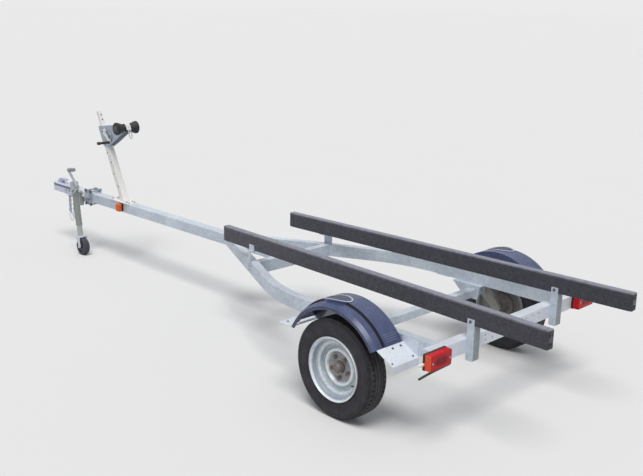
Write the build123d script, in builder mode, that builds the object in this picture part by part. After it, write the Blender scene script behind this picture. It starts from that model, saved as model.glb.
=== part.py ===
from build123d import *

import os
from math import asin, atan2, cos, hypot, pi, radians, sin, sqrt, tan

# Single-axle galvanised boat trailer with two carpeted bunks, parked on its tongue jack
# Millimetres. +X points to the coupler, +Y to the left of travel, +Z up. The ground is Z = 0
# The origin is on the ground under the middle of the trailer's length
# Stations named "ahead" are measured forward of the wheel centres

os.makedirs("parts", exist_ok=True)

SIDES = (("left", 1), ("right", -1))

# Overall stations along the trailer, from the wheel centres
coupler_nose_ahead = 4204
bunk_front_ahead = 1464
bunk_length = 2446
axle_x = (bunk_length - bunk_front_ahead - coupler_nose_ahead) / 2

# Wheels: 4.80-12 tyres on 12 in. rims with five studs
tyre_radius = 265.5
tyre_width = 120
track = 1436
wheel_y = track / 2
wheel_z = tyre_radius
rim_flange_radius = 170
rim_bead_radius = 152
rim_well_radius = 128
rim_width = 122
rim_sheet = 3.5
rim_disc_thickness = 5
stud_count = 5
stud_circle = 114.3
stud_hole = 14
hub_pilot_radius = 34
hub_clearance = 0.4

# Frame tube: 2 x 3 in. rails and cross members, 3 in. square tongue
rail_height = 76.2
rail_width = 50.8
rail_wall = 3.2
tongue_size = 76.2
tongue_wall = 4.8
tongue_bore = tongue_size - 2 * tongue_wall
frame_top = 490
frame_bottom = frame_top - rail_height
rail_wheel_gap = 64
rail_outer_y = wheel_y - rim_width / 2 - rail_wheel_gap
rail_corner_ahead = 647
rail_toe_angle = 26.1
rail_bend_radius = 1025
rear_member_ahead = -531
rear_member_depth = 55
rear_member_overhang = 72
rear_member_half_length = rail_outer_y + rear_member_overhang
rear_member_sheet = 4.5
front_member_ahead = 1115

# Torsion axle: square beam under the rails, arms trailing down to the wheels
beam_size = 50.8
beam_wall = 4
beam_ahead = 105
beam_z = 366
arm_thickness = 26
arm_gap = 4
axle_bracket_length = 200
axle_bracket_sheet = 6
axle_bracket_web_drop = 84
spindle_radius = 15

# Fenders
fender_inner_reach = 116
fender_outer_reach = 74
fender_inner_y = wheel_y - fender_inner_reach
fender_outer_y = wheel_y + fender_outer_reach
fender_sheet = 4
fender_band_radius = 353
fender_rear_angle = 147
fender_pad_half_length = 90
fender_pad_half_width = 50
fender_pad_ahead = 42
fender_pad_out = -17

# Bunks: 2 x 4 in. boards on edge in carpet, 8 ft long, closer together in front
bunk_height = 98
bunk_thickness = 46
bunk_bottom = 559
bunk_front_outer_y = 308
bunk_rear_outer_y = 413
bunk_edge_radius = 6

# Winch stand
post_size = 50.8
post_wall = 3
post_base_ahead = 3107
post_lean = 26.2
post_lower_length = 600
mast_top_z = 1170
mast_lap = 170
mast_wall = 2.5
post_upper_size = 31.8

# Jack on the left side of the tongue, leaning forward towards its top
jack_ahead = 3590
jack_y = 160
jack_lean = 8
jack_pivot_z = 452
jack_tube_radius = 25
jack_leg_radius = 21.6
jack_leg_clearance = 0.4
jack_wheel_radius = 70
jack_wheel_width = 50
jack_trail = 22

# Gaps left between pieces that touch without being welded
seat_gap = 0.3

# Steps in which bent wire goes round a half turn
turn_steps = 4
mitre_stretch = 1 / cos(pi / (2 * turn_steps))


def ahead(distance):
    """Turns a distance forward of the wheel centres into the trailer's X."""
    return axle_x + distance


def on_side(sign, points):
    """Gives plan points of the left side, or their mirror for the right side."""
    return [(x, sign * y) for x, y in points]


def wire_loop(centre, across, facing, bend, straight):
    """Gives the closed centre line of a link: two straights joined by half turns in short steps."""
    points = [(bend, 0)]
    for turn_centre, first in ((straight / 2, 0), (-straight / 2, pi)):
        for step in range(turn_steps + 1):
            angle = first + pi * step / turn_steps
            points.append((bend * cos(angle), turn_centre + bend * sin(angle)))
    with BuildLine(Plane(origin=centre, x_dir=across, z_dir=facing)) as loop:
        Polyline(*points, close=True)
    return loop.line


# Rails: straight beside the wheels, bent inwards, straight again to the tongue
toe = radians(rail_toe_angle)
rail_centre_y = rail_outer_y - rail_width / 2
bend_tangent = rail_bend_radius * tan(toe / 2)
corner_x = ahead(rail_corner_ahead) - rail_width / 2 * tan(toe / 2)
bend_start_x = corner_x - bend_tangent
bend_end = (corner_x + bend_tangent * cos(toe), rail_centre_y - bend_tangent * sin(toe))
tongue_side_y = tongue_size / 2
rail_overrun = 90
rail_tip_x = bend_end[0] + (bend_end[1] - tongue_side_y) / tan(toe) + rail_overrun * cos(toe)
rail_tip_y = tongue_side_y - rail_overrun * sin(toe)
rear_member_front_x = ahead(rear_member_ahead) + rear_member_depth


def rail_inner_y(x):
    """Half distance between the rails' inner faces where the rails converge."""
    return bend_end[1] - (x - bend_end[0]) * tan(toe) - rail_width / 2 / cos(toe)


for side, sign in SIDES:
    with BuildPart() as frame_rail:
        with BuildLine(Plane.XY.offset(frame_top - rail_height / 2)):
            rail_y = sign * rail_centre_y
            rear_run = Line((rear_member_front_x, rail_y), (bend_start_x, rail_y))
            bend = TangentArc([rear_run @ 1, (bend_end[0], sign * bend_end[1])], tangent=rear_run % 1)
            Line(bend @ 1, (rail_tip_x, sign * rail_tip_y))
        with BuildSketch(Plane(origin=rear_run @ 0, x_dir=(0, 1, 0), z_dir=(1, 0, 0))):
            Rectangle(rail_width, rail_height)
            Rectangle(rail_width - 2 * rail_wall, rail_height - 2 * rail_wall, mode=Mode.SUBTRACT)
        sweep(transition=Transition.ROUND)
        keep_side = Keep.TOP if sign > 0 else Keep.BOTTOM
        split(bisect_by=Plane(origin=(0, sign * tongue_side_y, 0), z_dir=(0, 1, 0)), keep=keep_side)
    frame_rail.part.label = f"{side}_frame_rail"
    export_step(frame_rail.part, f"parts/{side}_frame_rail.step")

# Front cross member: tube between the converging rails, its ends cut to their angle
front_member_x0 = ahead(front_member_ahead)
front_member_x1 = front_member_x0 + rail_width
with BuildPart() as front_cross_member:
    with BuildSketch(Plane.XY.offset(frame_bottom)):
        Polygon(
            (front_member_x0, -rail_inner_y(front_member_x0)),
            (front_member_x1, -rail_inner_y(front_member_x1)),
            (front_member_x1, rail_inner_y(front_member_x1)),
            (front_member_x0, rail_inner_y(front_member_x0)),
            align=None,
        )
    extrude(amount=rail_height)
    with BuildSketch(Plane.XZ):
        with Locations((front_member_x0 + rail_width / 2, frame_top - rail_height / 2)):
            Rectangle(rail_width - 2 * rail_wall, rail_height - 2 * rail_wall)
    extrude(amount=rail_outer_y, both=True, mode=Mode.SUBTRACT)
front_cross_member.part.label = "front_cross_member"
export_step(front_cross_member.part, "parts/front_cross_member.step")

# Rear cross member: channel with its web to the rear, punched with two rows of holes
rear_hole_radius = 5.5
rear_hole_pitch = 60
rear_hole_row_gap = 28
rear_hole_count = 9
rear_member_x = ahead(rear_member_ahead)
rear_web_z = frame_top - rail_height / 2
with BuildPart() as rear_cross_member:
    with BuildSketch(Plane.XZ.offset(-rear_member_half_length)):
        with Locations((rear_member_x + rear_member_depth / 2, rear_web_z)):
            Rectangle(rear_member_depth, rail_height)
        with Locations((rear_member_x + rear_member_sheet + rear_member_depth / 2, rear_web_z)):
            Rectangle(rear_member_depth, rail_height - 2 * rear_member_sheet, mode=Mode.SUBTRACT)
    extrude(amount=2 * rear_member_half_length)
    outer_edges = rear_cross_member.edges().filter_by(Axis.Y).group_by(Axis.X)[0]
    fillet(outer_edges, radius=rear_member_sheet)
    with BuildSketch(Plane.YZ.offset(rear_member_x)):
        with Locations((0, rear_web_z)):
            with GridLocations(rear_hole_pitch, rear_hole_row_gap, rear_hole_count, 2):
                Circle(rear_hole_radius)
    extrude(amount=rear_member_sheet, mode=Mode.SUBTRACT)
rear_cross_member.part.label = "rear_cross_member"
export_step(rear_cross_member.part, "parts/rear_cross_member.step")

# Tongue: square tube from the front cross member to the coupler, with a tab for the chains
link_wire = 4
link_length = 37
link_width = 27
link_count = 7
chain_spread = 19
chain_x = ahead(3948)
tab_drop = 24
tab_sheet = 6
tab_hole_z = frame_bottom - tab_drop + 10
tab_hole_radius = link_wire + 2
tongue_rear_x = front_member_x1
coupler_nose_x = ahead(coupler_nose_ahead)
tongue_front_x = coupler_nose_x - 214
tongue_mid_z = frame_top - tongue_size / 2
with BuildPart() as tongue_beam:
    with BuildSketch(Plane.YZ.offset(tongue_rear_x)):
        with Locations((0, tongue_mid_z)):
            RectangleRounded(tongue_size, tongue_size, 6)
            RectangleRounded(tongue_bore, tongue_bore, 2, mode=Mode.SUBTRACT)
    extrude(amount=tongue_front_x - tongue_rear_x)
    with BuildSketch(Plane.YZ.offset(chain_x - tab_sheet / 2)):
        with Locations((0, frame_bottom - tab_drop / 2)):
            Rectangle(2 * chain_spread + 24, tab_drop)
        with Locations((-chain_spread, tab_hole_z), (chain_spread, tab_hole_z)):
            Circle(tab_hole_radius, mode=Mode.SUBTRACT)
    extrude(amount=tab_sheet)
tongue_beam.part.label = "tongue_beam"
export_step(tongue_beam.part, "parts/tongue_beam.step")

# Coupler: pressed shell over the tongue's end, with the ball socket under its nose
coupler_sheet = 4
coupler_half_width = tongue_side_y + seat_gap + coupler_sheet
coupler_overlap = 110
coupler_nose_radius = 42
coupler_shoulder = 20
coupler_edge_radius = 10
coupler_throat = tongue_size - 4
coupler_rear_x = tongue_front_x - coupler_overlap
ball_radius = 25.4
socket_clearance = 0.5
socket_drop = 28
socket_wall = 6
socket_x = coupler_nose_x - coupler_nose_radius
coupler_lip_z = 422
coupler_top_z = frame_top + seat_gap + coupler_sheet
socket_z = coupler_top_z - coupler_sheet - socket_drop
with BuildPart() as coupler_body:
    with BuildSketch(Plane.XY.offset(coupler_lip_z)):
        with BuildLine():
            nose = RadiusArc(
                (socket_x, coupler_nose_radius),
                (socket_x, -coupler_nose_radius),
                coupler_nose_radius,
            )
            Polyline(
                nose @ 1,
                (tongue_front_x + coupler_shoulder, -coupler_half_width),
                (coupler_rear_x, -coupler_half_width),
                (coupler_rear_x, coupler_half_width),
                (tongue_front_x + coupler_shoulder, coupler_half_width),
                nose @ 0,
            )
        make_face()
    extrude(amount=coupler_top_z - coupler_lip_z)
    fillet(coupler_body.edges().group_by(Axis.Z)[-1].group_by(Axis.X)[1:], radius=coupler_edge_radius)
    with BuildSketch(Plane.XY.offset(coupler_lip_z)):
        with Locations(((coupler_rear_x + tongue_front_x) / 2, 0)):
            Rectangle(tongue_front_x - coupler_rear_x, tongue_size + 2 * seat_gap)
        with Locations(((tongue_front_x + socket_x) / 2, 0)):
            Rectangle(socket_x - tongue_front_x, coupler_throat)
    extrude(amount=coupler_top_z - coupler_sheet - coupler_lip_z, mode=Mode.SUBTRACT)
    with Locations((socket_x, 0, socket_z)):
        Sphere(ball_radius + socket_wall)
        Sphere(ball_radius + socket_clearance, mode=Mode.SUBTRACT)
    with BuildSketch(Plane.XY.offset(socket_z)):
        with Locations((socket_x, 0)):
            Circle(ball_radius + socket_clearance)
    extrude(amount=-2 * ball_radius, mode=Mode.SUBTRACT)
coupler_body.part.label = "coupler_body"
export_step(coupler_body.part, "parts/coupler_body.step")

# Coupler latch: pressed lever lying on the coupler's top
latch_width = 30
latch_rise = 42
latch_sheet = 6
latch_tail = 150
latch_tail_rise = 30
latch_hump = 95
latch_crest = 40
latch_toe = 18
latch_toe_rise = 16
latch_heel = 75
latch_throat = 88
latch_throat_rise = 24
latch_edge_radius = 8
with BuildPart() as coupler_latch:
    with BuildSketch(Plane.XZ.offset(-latch_width / 2)):
        with BuildLine():
            Polyline(
                (socket_x - latch_tail, coupler_top_z + latch_tail_rise),
                (socket_x - latch_tail, coupler_top_z + latch_tail_rise + latch_sheet),
                (socket_x - latch_hump, coupler_top_z + latch_rise),
                (socket_x - latch_crest, coupler_top_z + latch_rise - latch_sheet),
                (socket_x - latch_toe, coupler_top_z + latch_toe_rise),
                (socket_x - latch_toe, coupler_top_z),
                (socket_x - latch_heel, coupler_top_z),
                (socket_x - latch_throat, coupler_top_z + latch_throat_rise),
                close=True,
            )
        make_face()
    extrude(amount=latch_width)
    fillet(coupler_latch.edges().filter_by(Axis.Y).group_by(Axis.Z)[-1], radius=latch_edge_radius)
coupler_latch.part.label = "coupler_latch"
export_step(coupler_latch.part, "parts/coupler_latch.step")

# Safety chains: welded links hanging from the tab under the tongue, each with its hook
link_pitch = link_length - 2 * link_wire - 2 * link_wire * mitre_stretch - seat_gap
link_bend = link_width / 2 - link_wire
link_straight = link_length - link_width
first_link_z = tab_hole_z - tab_hole_radius + 1 + link_wire * (1 + mitre_stretch) - link_length / 2
hook_wire = 5.5
hook_bend = 13
hook_straight = 50
hook_lean = radians(25)
last_wire_z = first_link_z - (link_count - 1) * link_pitch - link_length / 2 + link_wire
hook_top_z = last_wire_z + (link_wire + hook_wire) * mitre_stretch + seat_gap
hook_reach = hook_bend + hook_straight / 2
for side, sign in SIDES:
    paths = []
    for number in range(link_count):
        centre = (chain_x, sign * chain_spread, first_link_z - number * link_pitch)
        across = (1, 0, 0) if number % 2 == 0 else (0, 1, 0)
        facing = (0, -1, 0) if number % 2 == 0 else (1, 0, 0)
        paths.append((wire_loop(centre, across, facing, link_bend, link_straight), link_wire))
    hook_centre = (
        chain_x - hook_reach * sin(hook_lean),
        sign * chain_spread,
        hook_top_z - hook_reach * cos(hook_lean),
    )
    hook_facing = (cos(hook_lean), 0, -sin(hook_lean))
    paths.append((wire_loop(hook_centre, (0, 1, 0), hook_facing, hook_bend, hook_straight), hook_wire))
    with BuildPart() as safety_chain:
        for path, wire in paths:
            with BuildSketch(Plane(origin=path @ 0, z_dir=path % 0)):
                RegularPolygon(wire, 8)
            sweep(path=path, transition=Transition.RIGHT)
    safety_chain.part.label = f"{side}_safety_chain"
    export_step(safety_chain.part, f"parts/{side}_safety_chain.step")

# Axle beam: square torsion tube under both rails, with an angle bracket welded near each end
bracket_width = 85
bracket_inner_y = rail_outer_y - bracket_width
bracket_shift = 40
bracket_foot_length = 96
arm_rim_clearance = 7
arm_outer_y = wheel_y - rim_width / 2 - arm_rim_clearance
arm_inner_y = arm_outer_y - arm_thickness
beam_half_length = arm_inner_y - arm_gap
beam_x = ahead(beam_ahead)
with BuildPart() as axle_beam:
    with BuildSketch(Plane.XZ.offset(-beam_half_length)):
        with Locations((beam_x, beam_z)):
            RectangleRounded(beam_size, beam_size, 6)
            RectangleRounded(beam_size - 2 * beam_wall, beam_size - 2 * beam_wall, 3, mode=Mode.SUBTRACT)
    extrude(amount=2 * beam_half_length)
    for sign in (1, -1):
        with BuildSketch(Plane.XY.offset(frame_bottom - axle_bracket_sheet)):
            with Locations((beam_x + bracket_shift, sign * (bracket_inner_y + rail_outer_y) / 2)):
                Rectangle(axle_bracket_length, rail_outer_y - bracket_inner_y)
        extrude(amount=axle_bracket_sheet)
        with BuildSketch(Plane.XZ.offset(-sign * bracket_inner_y)):
            Polygon(
                (beam_x + bracket_shift - axle_bracket_length / 2, frame_bottom),
                (beam_x + bracket_shift + axle_bracket_length / 2, frame_bottom),
                (beam_x + bracket_foot_length / 2, frame_bottom - axle_bracket_web_drop),
                (beam_x - bracket_foot_length / 2, frame_bottom - axle_bracket_web_drop),
                align=None,
            )
            with Locations((beam_x, beam_z)):
                Rectangle(beam_size - beam_wall, beam_size - beam_wall, mode=Mode.SUBTRACT)
        extrude(amount=-sign * axle_bracket_sheet)
axle_beam.part.label = "axle_beam"
export_step(axle_beam.part, "parts/axle_beam.step")

# Trailing arms: forged arm from the torsion shaft in the beam to the wheel spindle
torsion_stub = beam_size - 2 * beam_wall - 2 * seat_gap
torsion_shaft_depth = 60
torsion_corner = 3.5
arm_beam_radius = 36
arm_spindle_radius = 29
arm_edge_radius = 4
spindle_length = 84
for side, sign in SIDES:
    with BuildPart() as trailing_arm:
        with BuildSketch(Plane.XZ.offset(-sign * arm_inner_y)):
            with Locations((beam_x, beam_z)):
                Circle(arm_beam_radius)
            with Locations((axle_x, wheel_z)):
                Circle(arm_spindle_radius)
            make_hull()
        extrude(amount=-sign * arm_thickness)
        arm_faces = trailing_arm.edges().group_by(Axis.Y)
        fillet(arm_faces[0] + arm_faces[-1], radius=arm_edge_radius)
        with BuildSketch(Plane.XZ.offset(-sign * (arm_inner_y - torsion_shaft_depth))):
            with Locations((beam_x, beam_z)):
                RectangleRounded(torsion_stub, torsion_stub, torsion_corner)
        extrude(amount=-sign * torsion_shaft_depth)
        with BuildSketch(Plane.XZ.offset(-sign * arm_outer_y)):
            with Locations((axle_x, wheel_z)):
                Circle(spindle_radius)
        extrude(amount=-sign * spindle_length)
    trailing_arm.part.label = f"{side}_trailing_arm"
    export_step(trailing_arm.part, f"parts/{side}_trailing_arm.step")

# Wheels: rim pressed from sheet, tyre, and hub with studs and grease cap
hub_barrel_depth = 60
hub_barrel_radius = 42
hub_flange_radius = 70
hub_flange_sheet = 12
cap_radius = 27
cap_shoulder = 28
cap_reach = 38
spindle_end = 24
stud_root = 2
stud_length = 24
wheel_nut_radius = 11
wheel_nut_height = 15
wheel_axis = Axis((axle_x, 0, wheel_z), (0, 1, 0))
flange_depth = 10
flange_face = rim_width / 2 - flange_depth
bead_half = flange_face - rim_sheet / 2 - seat_gap
seat_radius = rim_bead_radius + rim_sheet / 2 + seat_gap
disc_face = rim_disc_thickness / 2
bead_chamfer = 3
flange_roll = 2
well_outer_edge = 30
well_outer_floor = 20
well_inner_floor = -12
well_inner_edge = -24
ring_foot_radius = 76
ring_inner_radius = 88
ring_outer_radius = 94
ring_rise = 14
dish_radius = 108
dish_rise = 5
rim_seam_rise = 4
shoulder_inset_y = 11
shoulder_drop = 17
sidewall_drop = 60
shoulder_radius = 6
for side, sign in SIDES:
    wheel_centre = (axle_x, sign * wheel_y, wheel_z)
    profile_plane = Plane(origin=wheel_centre, x_dir=(0, sign, 0), z_dir=(sign, 0, 0))
    stud_plane = Plane(origin=wheel_centre, x_dir=(1, 0, 0), z_dir=(0, sign, 0))
    with BuildPart() as wheel_rim:
        with BuildSketch(profile_plane):
            with BuildLine():
                Polyline(
                    (rim_width / 2, rim_flange_radius - rim_sheet / 2),
                    (flange_face, rim_flange_radius - rim_sheet / 2 - flange_roll),
                    (flange_face, rim_bead_radius),
                    (well_outer_edge, rim_bead_radius),
                    (well_outer_floor, rim_well_radius),
                    (well_inner_floor, rim_well_radius),
                    (well_inner_edge, rim_bead_radius),
                    (-flange_face, rim_bead_radius),
                    (-flange_face, rim_flange_radius - rim_sheet / 2 - flange_roll),
                    (-rim_width / 2, rim_flange_radius - rim_sheet / 2),
                )
                offset(amount=rim_sheet / 2, kind=Kind.INTERSECTION, side=Side.BOTH)
            make_face()
            with BuildLine():
                Polyline(
                    (0, hub_pilot_radius),
                    (0, ring_foot_radius),
                    (ring_rise, ring_inner_radius),
                    (ring_rise, ring_outer_radius),
                    (dish_rise, dish_radius),
                    (rim_seam_rise, rim_well_radius),
                )
                offset(amount=rim_disc_thickness / 2, kind=Kind.INTERSECTION, side=Side.BOTH)
            make_face()
        revolve(axis=wheel_axis)
        with BuildSketch(stud_plane):
            with PolarLocations(stud_circle / 2, stud_count, start_angle=90):
                Circle(stud_hole / 2)
        extrude(amount=rim_disc_thickness, both=True, mode=Mode.SUBTRACT)
    wheel_rim.part.label = f"{side}_wheel_rim"
    export_step(wheel_rim.part, f"parts/{side}_wheel_rim.step")

    with BuildPart() as tyre:
        with BuildSketch(profile_plane):
            with BuildLine():
                seat_half = bead_half - bead_chamfer
                seat = Line((seat_half, seat_radius), (-seat_half, seat_radius))
                heel = Line(seat @ 1, (-bead_half, seat_radius + bead_chamfer))
                bead_in = Line(heel @ 1, (-bead_half, rim_flange_radius + 1))
                shoulder = (tyre_width / 2 - shoulder_inset_y, tyre_radius - shoulder_drop)
                bulge = (tyre_width / 2, tyre_radius - sidewall_drop)
                wall_in = ThreePointArc(bead_in @ 1, (-bulge[0], bulge[1]), (-shoulder[0], shoulder[1]))
                crown = ThreePointArc(wall_in @ 1, (0, tyre_radius), shoulder)
                wall_out = ThreePointArc(crown @ 1, bulge, (bead_half, rim_flange_radius + 1))
                Polyline(wall_out @ 1, (bead_half, seat_radius + bead_chamfer), seat @ 0)
            make_face()
        revolve(axis=wheel_axis)
        tread_foot = tyre_radius - 2 * shoulder_drop
        tread_edges = tyre.edges().filter_by(GeomType.CIRCLE).filter_by(lambda edge: edge.radius > tread_foot)
        fillet(tread_edges, radius=shoulder_radius)
    tyre.part.label = f"{side}_tyre"
    export_step(tyre.part, f"parts/{side}_tyre.step")

    with BuildPart() as wheel_hub:
        with BuildSketch(profile_plane):
            with BuildLine():
                Polyline(
                    (-hub_barrel_depth, spindle_radius + hub_clearance),
                    (-hub_barrel_depth, hub_barrel_radius - 6),
                    (-disc_face - hub_flange_sheet, hub_barrel_radius),
                    (-disc_face - hub_flange_sheet, hub_flange_radius),
                    (-disc_face, hub_flange_radius),
                    (-disc_face, hub_pilot_radius - hub_clearance - 2),
                    (cap_shoulder, cap_radius),
                    (cap_reach - 2, cap_radius - 7),
                    (cap_reach, 0),
                    (spindle_end, 0),
                    (spindle_end, spindle_radius + hub_clearance),
                    close=True,
                )
            make_face()
        revolve(axis=wheel_axis)
        with BuildSketch(stud_plane.offset(-disc_face - stud_root)):
            with PolarLocations(stud_circle / 2, stud_count, start_angle=90):
                Circle(stud_hole / 2 - 1)
        extrude(amount=stud_length)
        with BuildSketch(stud_plane.offset(disc_face)):
            with PolarLocations(stud_circle / 2, stud_count, start_angle=90):
                RegularPolygon(wheel_nut_radius, 6)
        extrude(amount=wheel_nut_height)
    wheel_hub.part.label = f"{side}_wheel_hub"
    export_step(wheel_hub.part, f"parts/{side}_wheel_hub.step")

# Fenders: moulded half-round shell with a raised inner band, deep outer lip and round step pad
shoulder_width = 69
band_outer_y = fender_outer_y - shoulder_width
band_step = 10
shoulder_inset = 21
fender_crown_radius = fender_band_radius + fender_sheet / 2
fender_lip_radius = 316
fender_pad_y = wheel_y + fender_pad_out
pad_rise = 2.5
fender_front_angle = asin((frame_bottom + seat_gap - wheel_z) / fender_lip_radius)
fender_arc = fender_rear_angle - fender_front_angle * 180 / pi


def fender_section(inset):
    """Half section of the fender as (y, radius), drawn inwards by an inset and left open below."""
    crown = fender_crown_radius - inset
    foot = fender_lip_radius - 6 * inset
    return [
        (fender_inner_y + inset, foot),
        (fender_inner_y + inset, crown),
        (band_outer_y - inset / 2, crown),
        (band_outer_y - inset / 2 + band_step / 2, crown - band_step),
        (fender_outer_y - shoulder_inset - inset / 4, crown - band_step - 4),
        (fender_outer_y - inset, fender_lip_radius + 12 - inset / 2),
        (fender_outer_y - inset, foot),
    ]


for side, sign in SIDES:
    start = radians(fender_rear_angle)
    fender_plane = Plane(
        origin=(axle_x, 0, wheel_z),
        x_dir=(0, sign, 0),
        z_dir=(sign * sin(start), 0, -sign * cos(start)),
    )
    with BuildPart() as fender:
        with BuildSketch(fender_plane):
            Polygon(*fender_section(0), align=None)
        revolve(axis=wheel_axis, revolution_arc=fender_arc)
        with BuildPart(mode=Mode.PRIVATE) as step_pad:
            with BuildSketch(Plane.XY.offset(wheel_z + fender_lip_radius)):
                with Locations((ahead(fender_pad_ahead), sign * fender_pad_y)):
                    Ellipse(fender_pad_half_length, fender_pad_half_width)
            extrude(amount=fender_crown_radius)
            with BuildSketch(Plane.XZ.offset(-sign * fender_inner_y)):
                with Locations((axle_x, wheel_z)):
                    Circle(fender_crown_radius + pad_rise)
            extrude(amount=-sign * (fender_outer_y - fender_inner_y), mode=Mode.INTERSECT)
        add(step_pad.part)
        with BuildSketch(fender_plane):
            Polygon(*fender_section(fender_sheet), align=None)
        revolve(axis=wheel_axis, revolution_arc=fender_arc, mode=Mode.SUBTRACT)
    fender.part.label = f"{side}_fender"
    export_step(fender.part, f"parts/{side}_fender.step")

# Fender brackets: flat plate under the rail in front, bent step plate behind
fender_plate_sheet = 4
front_plate_ahead = 302
front_plate_length = 94
front_plate_setback = 8
front_plate_x0 = ahead(front_plate_ahead)
front_plate_x1 = front_plate_x0 + front_plate_length
step_top_ahead = -295
step_top_z = 455.6
step_foot_ahead = -398
step_foot_z = 402
step_web_drop = 6
step_bend_radius = 4
step_top = (ahead(step_top_ahead), step_top_z)
step_foot = (ahead(step_foot_ahead), step_foot_z)
step_lip_drop = 36
step_setback = 10
step_outer_y = fender_outer_y - step_setback
for side, sign in SIDES:
    with BuildPart() as front_plate:
        with BuildSketch(Plane.XY.offset(frame_bottom - fender_plate_sheet)):
            Polygon(
                *on_side(
                    sign,
                    [
                        (front_plate_x0, rail_outer_y - rail_width),
                        (front_plate_x1, rail_outer_y - rail_width),
                        (front_plate_x1, fender_outer_y - front_plate_setback),
                        (front_plate_x0, fender_outer_y - front_plate_setback),
                    ],
                ),
                align=None,
            )
        extrude(amount=fender_plate_sheet)
    front_plate.part.label = f"{side}_fender_front_bracket"
    export_step(front_plate.part, f"parts/{side}_fender_front_bracket.step")

    with BuildPart() as step_plate:
        with BuildSketch(Plane.XZ.offset(-sign * rail_outer_y)):
            with BuildLine():
                FilletPolyline(
                    step_top,
                    step_foot,
                    (step_foot[0], step_foot[1] - step_lip_drop),
                    radius=step_bend_radius,
                )
            trace(line_width=fender_plate_sheet)
        extrude(amount=-sign * (step_outer_y - rail_outer_y))
        with BuildSketch(Plane.XZ.offset(-sign * rail_outer_y)):
            Polygon(
                step_top,
                step_foot,
                (step_foot[0], frame_top - step_web_drop),
                (step_top[0], frame_top - step_web_drop),
                align=None,
            )
        extrude(amount=-sign * fender_plate_sheet)
    step_plate.part.label = f"{side}_fender_rear_step"
    export_step(step_plate.part, f"parts/{side}_fender_rear_step.step")

# Tail lamps on the rear cross member's ends
lamp_width = 162
lamp_height = 82
lamp_base_depth = 10
lamp_lens_depth = 36
lamp_overlap = 17
lamp_y = rear_member_half_length - lamp_overlap
lamp_z = 456
for side, sign in SIDES:
    with BuildPart() as lamp_base:
        with BuildSketch(Plane.YZ.offset(rear_member_x)):
            with Locations((sign * lamp_y, lamp_z)):
                RectangleRounded(lamp_width, lamp_height, 6)
        extrude(amount=-lamp_base_depth)
    lamp_base.part.label = f"{side}_tail_lamp_base"
    export_step(lamp_base.part, f"parts/{side}_tail_lamp_base.step")

    with BuildPart() as lamp_lens:
        with BuildSketch(Plane.YZ.offset(rear_member_x - lamp_base_depth)):
            with Locations((sign * lamp_y, lamp_z)):
                RectangleRounded(lamp_width - 4, lamp_height - 4, 6)
        extrude(amount=-lamp_lens_depth)
        fillet(lamp_lens.edges().group_by(Axis.X)[0], radius=5)
    lamp_lens.part.label = f"{side}_tail_lamp_lens"
    export_step(lamp_lens.part, f"parts/{side}_tail_lamp_lens.step")

# Side marker lamps on the tongue
marker_ahead = 3103
marker_length = 54
marker_height = 60
marker_depth = 38
for side, sign in SIDES:
    with BuildPart() as side_marker:
        with BuildSketch(Plane.XZ.offset(-sign * tongue_side_y)):
            with Locations((ahead(marker_ahead), tongue_mid_z)):
                RectangleRounded(marker_length, marker_height, 8)
        extrude(amount=-sign * marker_depth)
        far_face = side_marker.faces().sort_by(Axis.Y)[-1 if sign > 0 else 0]
        fillet(far_face.edges(), radius=7)
    side_marker.part.label = f"{side}_marker_lamp"
    export_step(side_marker.part, f"parts/{side}_marker_lamp.step")

# Bunks: carpeted boards on edge, their rear ends further apart
bunk_skew = atan2(bunk_rear_outer_y - bunk_front_outer_y, bunk_length)
bunk_front_x = ahead(bunk_front_ahead)


def bunk_outer_y(x):
    """Half distance between the bunks' outer faces at a station."""
    return bunk_front_outer_y + (bunk_front_x - x) * tan(bunk_skew)


for side, sign in SIDES:
    with BuildPart() as bunk:
        bunk_run = Plane(
            origin=(bunk_front_x, sign * bunk_front_outer_y, bunk_bottom),
            x_dir=(-cos(bunk_skew), sign * sin(bunk_skew), 0),
            z_dir=(0, 0, 1),
        )
        with BuildSketch(bunk_run):
            inward = -bunk_thickness if sign < 0 else bunk_thickness
            Polygon((0, 0), (bunk_length, 0), (bunk_length, inward), (0, inward), align=None)
        extrude(amount=bunk_height)
        fillet(bunk.edges(), radius=bunk_edge_radius)
    bunk.part.label = f"{side}_bunk"
    export_step(bunk.part, f"parts/{side}_bunk.step")

# Rear bunk brackets: the same angle iron on both bunks, on their left faces
bracket_sheet = 5
rear_bracket_leg = 40
rear_bracket_flange = 62
rear_bracket_foot = 36
rear_bracket_lap = 32
rear_bracket_leg_x = rear_member_x - rear_bracket_leg
rear_bracket_foot_z = frame_bottom - rear_bracket_foot
for side, sign in SIDES:
    leg_face_y = bunk_outer_y(rear_bracket_leg_x) + seat_gap
    if sign < 0:
        leg_face_y = bunk_thickness / cos(bunk_skew) - bunk_outer_y(rear_member_x) + seat_gap
    with BuildPart() as rear_bracket:
        with BuildSketch(Plane.XZ.offset(-leg_face_y)):
            Polygon(
                (rear_member_x, rear_bracket_foot_z),
                (rear_bracket_leg_x, rear_bracket_foot_z),
                (rear_bracket_leg_x, bunk_bottom + rear_bracket_lap),
                (rear_member_x, bunk_bottom + rear_bracket_lap),
                align=None,
            )
        extrude(amount=-bracket_sheet)
        with BuildSketch(Plane.YZ.offset(rear_member_x)):
            Polygon(
                (leg_face_y + bracket_sheet, rear_bracket_foot_z),
                (leg_face_y + bracket_sheet - rear_bracket_flange, rear_bracket_foot_z),
                (leg_face_y + bracket_sheet - rear_bracket_flange, bunk_bottom - seat_gap),
                (leg_face_y + bracket_sheet, bunk_bottom - seat_gap),
                align=None,
            )
        extrude(amount=-bracket_sheet)
    rear_bracket.part.label = f"{side}_rear_bunk_bracket"
    export_step(rear_bracket.part, f"parts/{side}_rear_bunk_bracket.step")

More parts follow.
